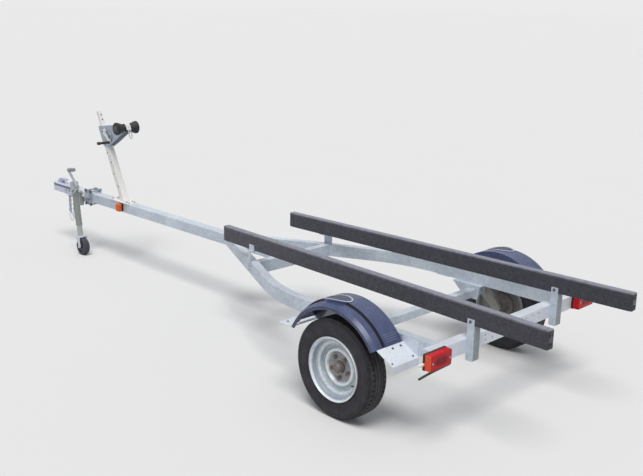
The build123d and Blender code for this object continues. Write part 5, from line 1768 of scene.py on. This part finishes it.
@dataclass
class TailLamp(SideAssembly):
    """Raised frame, screws, seal and lead of a tail lamp."""

    frame_width: float = 0.0035
    frame_depth: float = 0.0024
    frame_inset: float = 0.0075
    divider_size: Pair = (0.0018, 0.0022)
    divider_reach: float = 0.026
    screw_inset: float = 0.016
    screw_section: Section = (
        (0.0, 0.0), (0.0, 0.0050), (0.0012, 0.0050), (0.0022, 0.0040), (0.0022, 0.0012), (0.0012, 0.0010),
        (0.0012, 0.0))
    seal_margin: float = 0.0030
    guard_radius: float = 0.0058
    guard_path: tuple[Point, ...] = ((0.010, 0.006, 0.001), (0.010, 0.070, -0.001), (0.011, 0.135, -0.005),
                                     (0.018, 0.178, -0.014), (0.028, 0.206, -0.026))
    plug_place: Point = (-0.006, 0.014, -0.050)
    plug_size: Point = (0.011, 0.036, 0.013)

    def build(self) -> None:
        """Builds the lamp's trim."""
        low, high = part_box(f"{self.side}_tail_lamp_lens")
        face_x = low.x
        centre = (low + high) / 2
        width = high.y - low.y
        height = high.z - low.z
        bars = []
        for edge in (1, -1):
            bars.append(Bench.block("bar", (face_x, centre.y, centre.z + edge * (height / 2 - self.frame_inset)),
                                    (self.frame_depth, width - 0.015, self.frame_width), rounding=0.0008))
            bars.append(Bench.block("bar", (face_x, centre.y + edge * (width / 2 - self.frame_inset), centre.z),
                                    (self.frame_depth, self.frame_width, height - 0.015), rounding=0.0008))
        for offset in (-self.divider_reach, self.divider_reach):
            bars.append(Bench.block("bar", (face_x, centre.y + offset, centre.z),
                                    (*self.divider_size, height - 0.018), rounding=0.0006))
        no_amber = 10.0
        lens = TailLens(f"{self.side} tail lens", tuple(centre), no_amber, self.sign)
        self.workshop.deliver(Bench.join(f"{self.side}_lens_frame", bars), lens, "red_lens")
        places = [(face_x - 0.0002, centre.y + edge * (width / 2 - self.screw_inset), centre.z) for edge in (1, -1)]
        screws = [Bench.lathe("screw", self.screw_section, place, Vector((-1, 0, 0)), steps=20, closed=False)
                  for place in places]
        self.workshop.deliver(Bench.join(f"{self.side}_lens_screws", screws), BOLT_ZINC, "zinc_hardware")
        seal = Bench.block(f"{self.side}_lens_seal", (high.x - 0.0008, centre.y, centre.z),
                           (0.0030, width + self.seal_margin, height + self.seal_margin), rounding=0.0012)
        self.workshop.deliver(seal, LAMP_PLASTIC, "lamp_base_plastic")
        if self.sign > 0:
            self.guard(low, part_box(f"{self.side}_tail_lamp_base")[1])

    def guard(self, lens_low: Vector, base_high: Vector) -> None:
        """Builds the lead's rubber guard under the lens and the connector at the base's outer end.

        Args:
            lens_low: Lowest corner of the lens.
            base_high: Highest corner of the lamp's base.
        """
        under = lens_low.z - 0.0015
        path = [(lens_low.x + x, lens_low.y + y, under + z) for x, y, z in self.guard_path]
        guard = Bench.rod(f"{self.side}_lead_guard", path, self.guard_radius)
        self.workshop.deliver(guard, LAMP_PLASTIC, "lamp_base_plastic")
        place = [corner + offset for corner, offset in zip(base_high, self.plug_place)]
        plug = Bench.block(f"{self.side}_lead_connector", place, self.plug_size, rounding=0.003)
        self.workshop.deliver(plug, WHITE_PLUG, "lamp_base_plastic")


@dataclass
class FrameJoints(Assembly):
    """Welds and bolts of the rails, cross members and axle."""

    rail_width: float = 0.0508
    tongue_half: float = 0.0381
    corner: float = 0.003
    rail_weld_y: float = 0.0390
    rail_weld_length: float = 0.120
    rail_weld_start: float = 0.020
    bracket_sheet: float = 0.006
    bracket_margin: float = 0.018

    def build(self) -> None:
        """Adds the joints of the frame."""
        rear_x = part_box("rear_cross_member")[1].x
        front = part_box("front_cross_member")
        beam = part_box("axle_beam")
        rail_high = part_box("left_frame_rail")[1]
        outer, inner = rail_high.y, rail_high.y - self.rail_width
        low_z, high_z = FRAME_BOTTOM + self.corner, FRAME_TOP - self.corner
        rear_runs = []
        front_runs = []
        for side, sign in SIDES:
            rear_runs += [((rear_x, sign * y, low_z), (rear_x, sign * y, high_z)) for y in (outer, inner)]
            rear_runs.append(((rear_x, sign * inner, FRAME_TOP), (rear_x, sign * outer, FRAME_TOP)))
            front_runs += [((x, sign * self.tongue_half, low_z), (x, sign * self.tongue_half, high_z))
                           for x in (front[0].x, front[1].x)]
            tip = rail_high.x - self.rail_weld_start
            front_runs.append(((tip, sign * self.rail_weld_y, FRAME_TOP),
                               (tip - self.rail_weld_length, sign * self.rail_weld_y, FRAME_TOP)))
            bolt_y = sign * (inner + outer) / 2
            spots = [(x, bolt_y, FRAME_BOTTOM - self.bracket_sheet)
                     for x in (beam[0].x + self.bracket_margin, beam[1].x - self.bracket_margin)]
            self.fasteners.row(f"{side}_axle_bracket_bolts", spots, -UP, 0.0095)
        self.welds.seams("rear_corner_welds", rear_runs)
        self.welds.seams("front_corner_welds", front_runs)


@dataclass
class WinchStand(Assembly):
    """Fastenings, gears and trim of the winch post, winch and bow stop.

    Places in the upright plane are pairs: millimetres ahead of the wheels, and height in metres.
    """

    lean: float = math.radians(26.2)
    post_station: float = 3107
    post_half: float = 0.0254
    base_sheet: float = 0.006
    base_shift: float = 0.020
    base_bolts_x: tuple[float, ...] = (-0.118, -0.085, 0.118)
    base_bolts_y: Pair = (0.026, -0.026)
    plate_bolt_heights: Pair = (0.928, 1.040)
    post_holes: Section = ((0.610, -0.010), (0.700, 0.008), (0.790, -0.010), (0.860, 0.008))
    mast_half: float = 0.0159
    mast_holes: Pair = (1.110, 1.145)
    clamp_height: float = 1.0545
    clamp_size: Point = (0.046, 0.046, 0.010)
    drum: Pair = (3252, 0.994)
    crank: Pair = (3300, 1.036)
    drum_gear: float = 0.0440
    pinion: float = 0.01828
    gear_near: float = 0.0312
    gear_face: float = 0.009
    tooth: float = 0.0009
    tooth_sink: float = 0.0003
    tooth_share: float = 0.45
    nut_size: float = 0.0125
    gear_hole_reach: float = 0.027
    gear_holes: int = 5
    gear_hole_turn: float = 0.3
    pawl: Pair = (3276, 1.022)
    pawl_size: Point = (0.052, 0.005, 0.011)
    pawl_bolt: Pair = (3262, 1.012)
    bow_stop: Pair = (3050, 1.080)
    ring_places: tuple[float, ...] = (0.0800, 0.0850, 0.0900)
    ring_section: tuple[float, float, float, float] = (0.0012, 0.0450, 0.0462, 0.0478)
    washer_section: Section = (
        (0.0, 0.0102), (0.0, 0.0210), (0.0022, 0.0210), (0.0026, 0.0200), (0.0026, 0.0102))
    cap_section: Section = (
        (0.0, 0.0), (0.0, 0.0108), (0.0040, 0.0108), (0.0052, 0.0090), (0.0052, 0.0))
    cap_sink: float = 0.0045

    def post(self, height: float) -> float:
        """X of the post's centre line at a height."""
        return ahead(self.post_station) + (height - FRAME_TOP - self.base_sheet) * math.tan(self.lean)

    def foot(self) -> None:
        """Bolts and welds the post's base plate, and marks the holes of the post."""
        top = FRAME_TOP + self.base_sheet
        centre = ahead(self.post_station) + self.base_shift
        spots = [(centre + dx, dy, top) for dx in self.base_bolts_x for dy in self.base_bolts_y]
        self.fasteners.row("post_base_bolts", spots, UP, 0.0078)
        half_x = self.post_half / math.cos(self.lean)
        x0, x1 = self.post(top) - half_x, self.post(top) + half_x
        y = self.post_half
        self.welds.seams("post_foot_welds", [((x0, y, top), (x1, y, top)), ((x0, -y, top), (x1, -y, top)),
                                             ((x0, -y, top), (x0, y, top)), ((x1, -y, top), (x1, y, top))])
        for side, sign in SIDES:
            spots = [(self.post(height) + shift, sign * y, height) for height, shift in self.post_holes]
            self.fasteners.holes(f"{side}_post_holes", spots, Vector((0, sign, 0)), 0.0055)

    def plates(self) -> None:
        """Bolts the winch's side plates to the post and clamps the mast."""
        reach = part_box("winch_bracket")[1].y
        for side, sign in SIDES:
            spots = [(self.post(height), sign * reach, height) for height in self.plate_bolt_heights]
            self.fasteners.row(f"{side}_winch_plate_bolts", spots, Vector((0, sign, 0)), 0.0085)
        mast_half = self.mast_half / math.cos(self.lean)
        spots = [(self.post(height) - mast_half, 0, height + 0.003) for height in self.mast_holes]
        self.fasteners.holes("mast_holes", spots, Vector((-math.cos(self.lean), 0, math.sin(self.lean))), 0.0050)
        ring = Bench.block("mast_clamp", (self.post(self.clamp_height), 0, self.clamp_height), self.clamp_size,
                           (0, self.lean, 0), 0.003)
        self.workshop.deliver(ring, PLATE, "galvanised")

    def gear(self, name: str, centre: Pair, radius: float, teeth: int, body: str) -> None:
        """Puts teeth round a gear.

        Args:
            name: Name of the piece.
            centre: Place of its axis.
            radius: Radius that the teeth stand on.
            teeth: Number of teeth.
            body: Body that turns with the gear.
        """
        pitch = 2 * math.pi * radius / teeth
        tooth = Bench.block("tooth", (radius + self.tooth / 2 - self.tooth_sink, 0, 0),
                            (self.tooth + 2 * self.tooth_sink, self.gear_face, pitch * self.tooth_share),
                            rounding=0.0002)
        place = Matrix.Translation((ahead(centre[0]), self.gear_near + self.gear_face / 2, centre[1]))
        copies = [Bench.copy(tooth, place @ Matrix.Rotation(2 * math.pi * number / teeth, 4, "Y"))
                  for number in range(teeth)]
        bpy.data.objects.remove(tooth)
        self.workshop.deliver(Bench.join(name, copies), GEAR_ZINC, "zinc_hardware", body)

    def gears(self) -> None:
        """Puts teeth, nuts and lightening holes on the winch's gears."""
        self.gear("drum_gear_teeth", self.drum, self.drum_gear, 48, "winch_drum")
        self.gear("pinion_teeth", self.crank, self.pinion, 20, "winch_crank")
        out = Vector((0, 1, 0))
        drum_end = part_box("winch_drum")[1].y
        self.fasteners.row("drum_shaft_nut", [(ahead(self.drum[0]), drum_end - 0.001, self.drum[1])], out,
                           self.nut_size, "winch_drum")
        crank_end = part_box("winch_crank")[1].y
        self.fasteners.row("crank_shaft_nut", [(ahead(self.crank[0]), crank_end - 0.006, self.crank[1])], out,
                           self.nut_size, "winch_crank")
        gear_outer = self.gear_near + self.gear_face
        turns = [number * math.tau / self.gear_holes + self.gear_hole_turn for number in range(self.gear_holes)]
        spots = [(ahead(self.drum[0]) + self.gear_hole_reach * math.cos(turn), gear_outer,
                  self.drum[1] + self.gear_hole_reach * math.sin(turn)) for turn in turns]
        self.fasteners.holes("drum_gear_holes", spots, out, 0.0062, "winch_drum")
        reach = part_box("winch_bracket")[0].y
        pawl = Bench.block("ratchet_pawl", (ahead(self.pawl[0]), reach - 0.003, self.pawl[1]), self.pawl_size,
                           (0, math.radians(-35), 0), 0.0015)
        self.workshop.deliver(pawl, ZINC, "zinc_hardware")
        self.fasteners.row("ratchet_pawl_bolt", [(ahead(self.pawl_bolt[0]), reach - 0.0055, self.pawl_bolt[1])], -out,
                           0.0065)

    def stop(self) -> None:
        """Adds the bow stop's moulded rings, its end washers and nuts."""
        centre = (ahead(self.bow_stop[0]), 0, self.bow_stop[1])
        half, inner, edge, outer = self.ring_section
        rings = []
        for sign in (1, -1):
            for along in self.ring_places:
                profile = [(sign * (along - half), edge), (sign * along, outer), (sign * (along + half), edge),
                           (sign * along, inner)]
                rings.append(Bench.lathe("ring", profile, centre, AXLE_LINE, steps=48))
        self.workshop.deliver(Bench.join("bow_stop_rings", rings), BOW_RUBBER, "bow_rubber")
        face = max(abs(corner.y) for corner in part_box("bow_stop"))
        end_y = max(abs(corner.y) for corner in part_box("bow_stop_shaft")) - self.cap_sink
        for side, sign in SIDES:
            out = Vector((0, sign, 0))
            washer = Bench.lathe(f"{side}_bow_stop_washer", self.washer_section, (centre[0], sign * face, centre[2]),
                                 out, steps=32)
            self.workshop.deliver(washer, DARK_BOLT, "zinc_hardware")
            cap = Bench.lathe(f"{side}_bow_stop_cap", self.cap_section, (centre[0], sign * end_y, centre[2]), out,
                              steps=24, closed=False)
            self.workshop.deliver(cap, DARK_BOLT, "zinc_hardware")

    def grip(self) -> None:
        """Adds finger rings to the crank's grip."""
        centre = middle("winch_grip")
        first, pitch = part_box("winch_grip")[0].y + 0.022, 0.0060
        places = [first + number * pitch for number in range(9)]
        rings = Bench.ridges("winch_grip_rings", (centre.x, 0, centre.z), AXLE_LINE, places,
                             (0.0020, 0.0090, 0.0012, 0.0104), 28)
        self.workshop.deliver(rings, BLACK_GRIP, "grip_plastic", "winch_crank")

    def build(self) -> None:
        """Builds the stand's details."""
        self.foot()
        self.plates()
        self.gears()
        self.stop()
        self.grip()


@dataclass
class TongueJack(Assembly):
    """Fastenings and trim of the jack. Points of the leaning jack are in millimetres up, behind and outwards."""

    lean: float = math.radians(8)
    pivot: Point = (3590, 0.160, 0.452)
    plate_face: float = 0.0461
    clamp_heights: Pair = (0.3978, 0.5060)
    clamp_reach: float = 0.037
    gearbox_top: float = 145.6
    screw_reach: float = 17
    crank_up: float = 102
    crank_back: float = 48.2
    crank_length: float = 158
    crank_turn: float = math.radians(22.7)
    tip_back: float = 48.3
    tube_radius: float = 0.0251
    grip_washer_section: Section = (
        (-0.0062, 0.0), (-0.0062, 0.0110), (-0.0048, 0.0125), (0.0, 0.0125), (0.0, 0.0))
    plunger_place: Point = (24, 30, -44)
    plunger_section: Section = (
        (0.0, 0.0), (0.0, 0.0062), (0.010, 0.0062), (0.010, 0.0090), (0.016, 0.0090), (0.0175, 0.0078), (0.0175, 0.0))
    bail_half: tuple[Point, ...] = ((50, 14, -22), (54, 34, -34), (70, 45, -28), (84, 47, -7))
    bail_radius: float = 0.0036
    pin_cap_section: Section = (
        (-0.0045, 0.0), (-0.0045, 0.0098), (0.0015, 0.0098), (0.0032, 0.0075), (0.0040, 0.0))
    tread_margin: float = 0.0085

    def point(self, up: float, back: float, out: float) -> Vector:
        """Gives a point of the leaning jack.

        Args:
            up: Millimetres up along its tube.
            back: Millimetres behind it.
            out: Millimetres outwards from it.

        Returns:
            The point in the row frame.
        """
        up_axis, back_axis = self.axes()
        return (Vector((ahead(self.pivot[0]), self.pivot[1], self.pivot[2])) + up_axis * up * MM
                + back_axis * back * MM + Vector((0, out * MM, 0)))

    def axes(self) -> tuple[Vector, Vector]:
        """Directions along the jack's tube and behind it."""
        return (Vector((math.sin(self.lean), 0, math.cos(self.lean))),
                Vector((-math.cos(self.lean), 0, math.sin(self.lean))))

    def collar(self, name: str, up: float, outer: float, height: float) -> None:
        """Puts a rounded ring round the tube.

        Args:
            name: Name of the piece.
            up: Place of its lower face along the tube, in millimetres.
            outer: Outer radius in metres.
            height: Height in metres.
        """
        edge = 0.0012
        profile = [(0.0, self.tube_radius), (0.0, outer - edge), (edge, outer), (height - edge, outer),
                   (height, outer - edge), (height, self.tube_radius)]
        ring = Bench.lathe(name, profile, self.point(up, 0, 0), self.axes()[0], steps=40)
        self.workshop.deliver(ring, JACK_PAINT, "jack_paint", "jack")

    def head(self) -> None:
        """Details the gearbox, crank and grip."""
        up, back = self.axes()
        corners = (-self.screw_reach, self.screw_reach)
        spots = [self.point(self.gearbox_top, dx, dy) for dx in corners for dy in corners]
        self.fasteners.row("gearbox_screws", spots, up, 0.0042, "jack")
        self.fasteners.row("jack_crank_nut", [self.point(self.crank_up, self.crank_back, 0)], back, 0.0105, "jack")
        tip = self.point(self.crank_up + self.crank_length * math.cos(self.crank_turn), self.tip_back,
                         self.crank_length * math.sin(self.crank_turn))
        places = [0.016 + number * 0.0105 for number in range(7)]
        rings = Bench.ridges("jack_grip_rings", tip, back, places, (0.0030, 0.0136, 0.0018, 0.0154), 28)
        self.workshop.deliver(rings, GREY_GRIP, "grip_plastic", "jack")
        cap = Bench.lathe("jack_grip_washer", self.grip_washer_section, tip, back, steps=24, closed=False)
        self.workshop.deliver(cap, ZINC, "zinc_hardware", "jack")

    def tube(self) -> None:
        """Details the outer tube, the swivel and the leg."""
        self.collar("jack_tube_foot_ring", -214, 0.0272, 0.012)
        self.collar("jack_tube_top_ring", 62, 0.0275, 0.010)
        for side, sign in SIDES:
            spots = [(ahead(self.pivot[0]) + dx, sign * self.plate_face, height)
                     for dx in (-self.clamp_reach, self.clamp_reach) for height in self.clamp_heights]
            self.fasteners.row(f"{side}_jack_clamp_nuts", spots, Vector((0, sign, 0)), 0.0105, finish=DARK_BOLT)
        runs = [(self.point(-50, side, -19), self.point(50, side, -19)) for side in (-21, 21)]
        self.welds.seams("jack_saddle_welds", runs, "jack", 0.0026)
        plunger = Bench.lathe("swivel_plunger", self.plunger_section, self.point(*self.plunger_place), self.axes()[1],
                              steps=20, closed=False)
        self.workshop.deliver(plunger, ZINC, "zinc_hardware", "jack")
        other_half = [(up, back, -out) for up, back, out in reversed(self.bail_half)]
        wire = Bench.rod("swivel_bail", [self.point(*place) for place in (*self.bail_half, *other_half)],
                         self.bail_radius)
        self.workshop.deliver(wire, CRANK_ZINC, "zinc_hardware", "jack")

    def foot(self) -> None:
        """Details the fork and the wheel."""
        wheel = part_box("jack_wheel")
        centre = middle("jack_wheel")
        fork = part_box("jack_fork")
        caps = [Bench.lathe("cap", self.pin_cap_section, (centre.x, y, centre.z), Vector((0, sign, 0)), steps=24,
                            closed=False) for sign, y in ((1, fork[1].y), (-1, fork[0].y))]
        self.workshop.deliver(Bench.join("jack_wheel_pin_caps", caps), ZINC, "zinc_hardware", "jack_caster")
        half = (wheel[1].y - wheel[0].y) / 2 - self.tread_margin
        places = [-half * 0.72 + number * half * 0.36 for number in range(5)]
        ridges = Bench.ridges("jack_wheel_ridges", centre, AXLE_LINE, places, (0.0016, 0.0690, 0.0010, 0.0700), 56)
        self.workshop.deliver(ridges, ROLLER_PLASTIC, "jack_wheel_plastic", "jack_roller")

    def build(self) -> None:
        """Builds the jack's details."""
        self.head()
        self.tube()
        self.foot()


@dataclass
class Coupler(Assembly):
    """Bolts, latch pin, trigger and weld of the coupler."""

    bolt_steps: Pair = (0.030, 0.080)
    bolt_height: float = 0.456
    pin_section: Section = (
        (-0.0190, 0.0), (-0.0190, 0.0042), (-0.0182, 0.0052), (0.0182, 0.0052), (0.0190, 0.0042), (0.0190, 0.0))
    pin_place: Pair = (0.082, 0.012)
    weld_half: float = 0.036
    trigger_size: Point = (0.030, 0.012, 0.006)
    trigger_lean: float = math.radians(-14)

    def build(self) -> None:
        """Adds the coupler's details."""
        low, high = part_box("coupler_body")
        tongue_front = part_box("tongue_beam")[1].x
        for side, sign in SIDES:
            spots = [(tongue_front - step, sign * high.y, self.bolt_height) for step in self.bolt_steps]
            self.fasteners.row(f"{side}_coupler_bolts", spots, Vector((0, sign, 0)), 0.0095)
        latch_low, latch_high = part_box("coupler_latch")
        pin_at = (latch_low.x + self.pin_place[0], 0, high.z + self.pin_place[1])
        pin = Bench.lathe("latch_pin", self.pin_section, pin_at, AXLE_LINE, steps=20, closed=False)
        self.workshop.deliver(pin, BOLT_ZINC, "zinc_hardware")
        ends = tuple((low.x + 0.002, y, high.z - 0.0042) for y in (-self.weld_half, self.weld_half))
        self.welds.seams("coupler_weld", [ends], radius=0.0028)
        trigger = Bench.block("latch_trigger", (latch_low.x + 0.020, 0, latch_high.z - 0.016), self.trigger_size,
                              (0, self.trigger_lean, 0), 0.0016)
        self.workshop.deliver(trigger, ZINC, "zinc_hardware")


@dataclass
class Studio:
    """Floor, backdrop, lights and camera."""

    focal: float = 896.084
    image_width: int = 643
    sensor: float = 36.0
    eye: Point = (-2.9268, 3.7537, 2.0485)
    yaw: float = -0.778
    pitch: float = -0.258
    roll: float = 0.017
    view_end: float = 1000.0
    floor_size: float = 400.0
    floor_drop: float = 0.0005
    backdrop: float = 0.828
    sky: float = 0.46
    sky_colour: Colour = (0.88, 0.91, 0.96)
    sun: float = 2.08
    sun_colour: Colour = (1.0, 0.98, 0.95)
    sun_spread: float = math.radians(30)
    sun_from: Point = (-0.28, 0.30, 0.91)

    def camera(self) -> None:
        """Places the camera at the photograph's angle."""
        forward = Vector((math.cos(self.yaw) * math.cos(self.pitch), math.sin(self.yaw) * math.cos(self.pitch),
                          math.sin(self.pitch)))
        right = Vector((math.sin(self.yaw), -math.cos(self.yaw), 0.0))
        up = right.cross(forward)
        rolled_right = right * math.cos(self.roll) + up * math.sin(self.roll)
        rolled_up = up * math.cos(self.roll) - right * math.sin(self.roll)
        data = bpy.data.cameras.new("camera")
        data.sensor_width = self.sensor
        data.sensor_fit = "HORIZONTAL"
        data.lens = self.focal * self.sensor / self.image_width
        data.clip_end = self.view_end
        camera = bpy.data.objects.new("camera", data)
        bpy.context.scene.collection.objects.link(camera)
        turn = Matrix((rolled_right, rolled_up, -forward)).transposed().to_4x4()
        place = Vector(self.eye) + Vector((AXLE_X, 0, 0))
        camera.matrix_world = Matrix.Translation(place) @ turn
        bpy.context.scene.camera = camera

    def build(self, workshop: Workshop) -> None:
        """Builds the floor, the world and the sun.

        Args:
            workshop: Gives the floor's material.
        """
        Bench.clear()
        bpy.ops.mesh.primitive_plane_add(size=self.floor_size, location=(0, 0, -self.floor_drop))
        floor = bpy.context.object
        floor.name = "studio_floor"
        Bench.settle(floor)
        floor.data.materials.append(workshop.stock(StudioFloor("studio floor")))
        world = bpy.data.worlds.new("studio")
        bpy.context.scene.world = world
        world.use_nodes = True
        world.node_tree.nodes.clear()
        graph = Graph(world.node_tree)
        path = graph.add("LightPath")
        seen = graph.math("MAXIMUM", path.outputs["Is Camera Ray"],
                          graph.math("MAXIMUM", path.outputs["Is Glossy Ray"], path.outputs["Is Transmission Ray"]))
        soft = graph.add("Background", Color=self.sky_colour, Strength=self.sky)
        plain = graph.add("Background", Color=(self.backdrop, self.backdrop, self.backdrop), Strength=1.0)
        mix = graph.add("MixShader")
        graph.feed(mix, 0, seen)
        graph.feed(mix, 1, soft.outputs[0])
        graph.feed(mix, 2, plain.outputs[0])
        graph.tree.links.new(mix.outputs[0], graph.add("OutputWorld").inputs[0])
        data = bpy.data.lights.new("soft sun", "SUN")
        data.energy = self.sun
        data.angle = self.sun_spread
        data.color = self.sun_colour
        sun = bpy.data.objects.new("soft sun", data)
        sun.rotation_euler = Vector(self.sun_from).to_track_quat("Z", "Y").to_euler()
        bpy.context.scene.collection.objects.link(sun)
        bpy.context.scene.view_settings.view_transform = "Standard"


def main() -> None:
    """Builds the scene in order."""
    logging.basicConfig(level=logging.INFO, format="%(message)s")
    workshop = Workshop()
    studio = Studio()
    studio.camera()
    Surfaces(workshop).dress()
    tools = (workshop, Fasteners(workshop), Welds(workshop))
    for side, sign in SIDES:
        for kind in (Wheel, Fender, Bunk, TailLamp):
            kind(*tools, side, sign).build()
    for kind in (BunkBrackets, FrameJoints, WinchStand, TongueJack, Coupler):
        kind(*tools).build()
    studio.build(workshop)


if __name__ == "__main__":
    main()
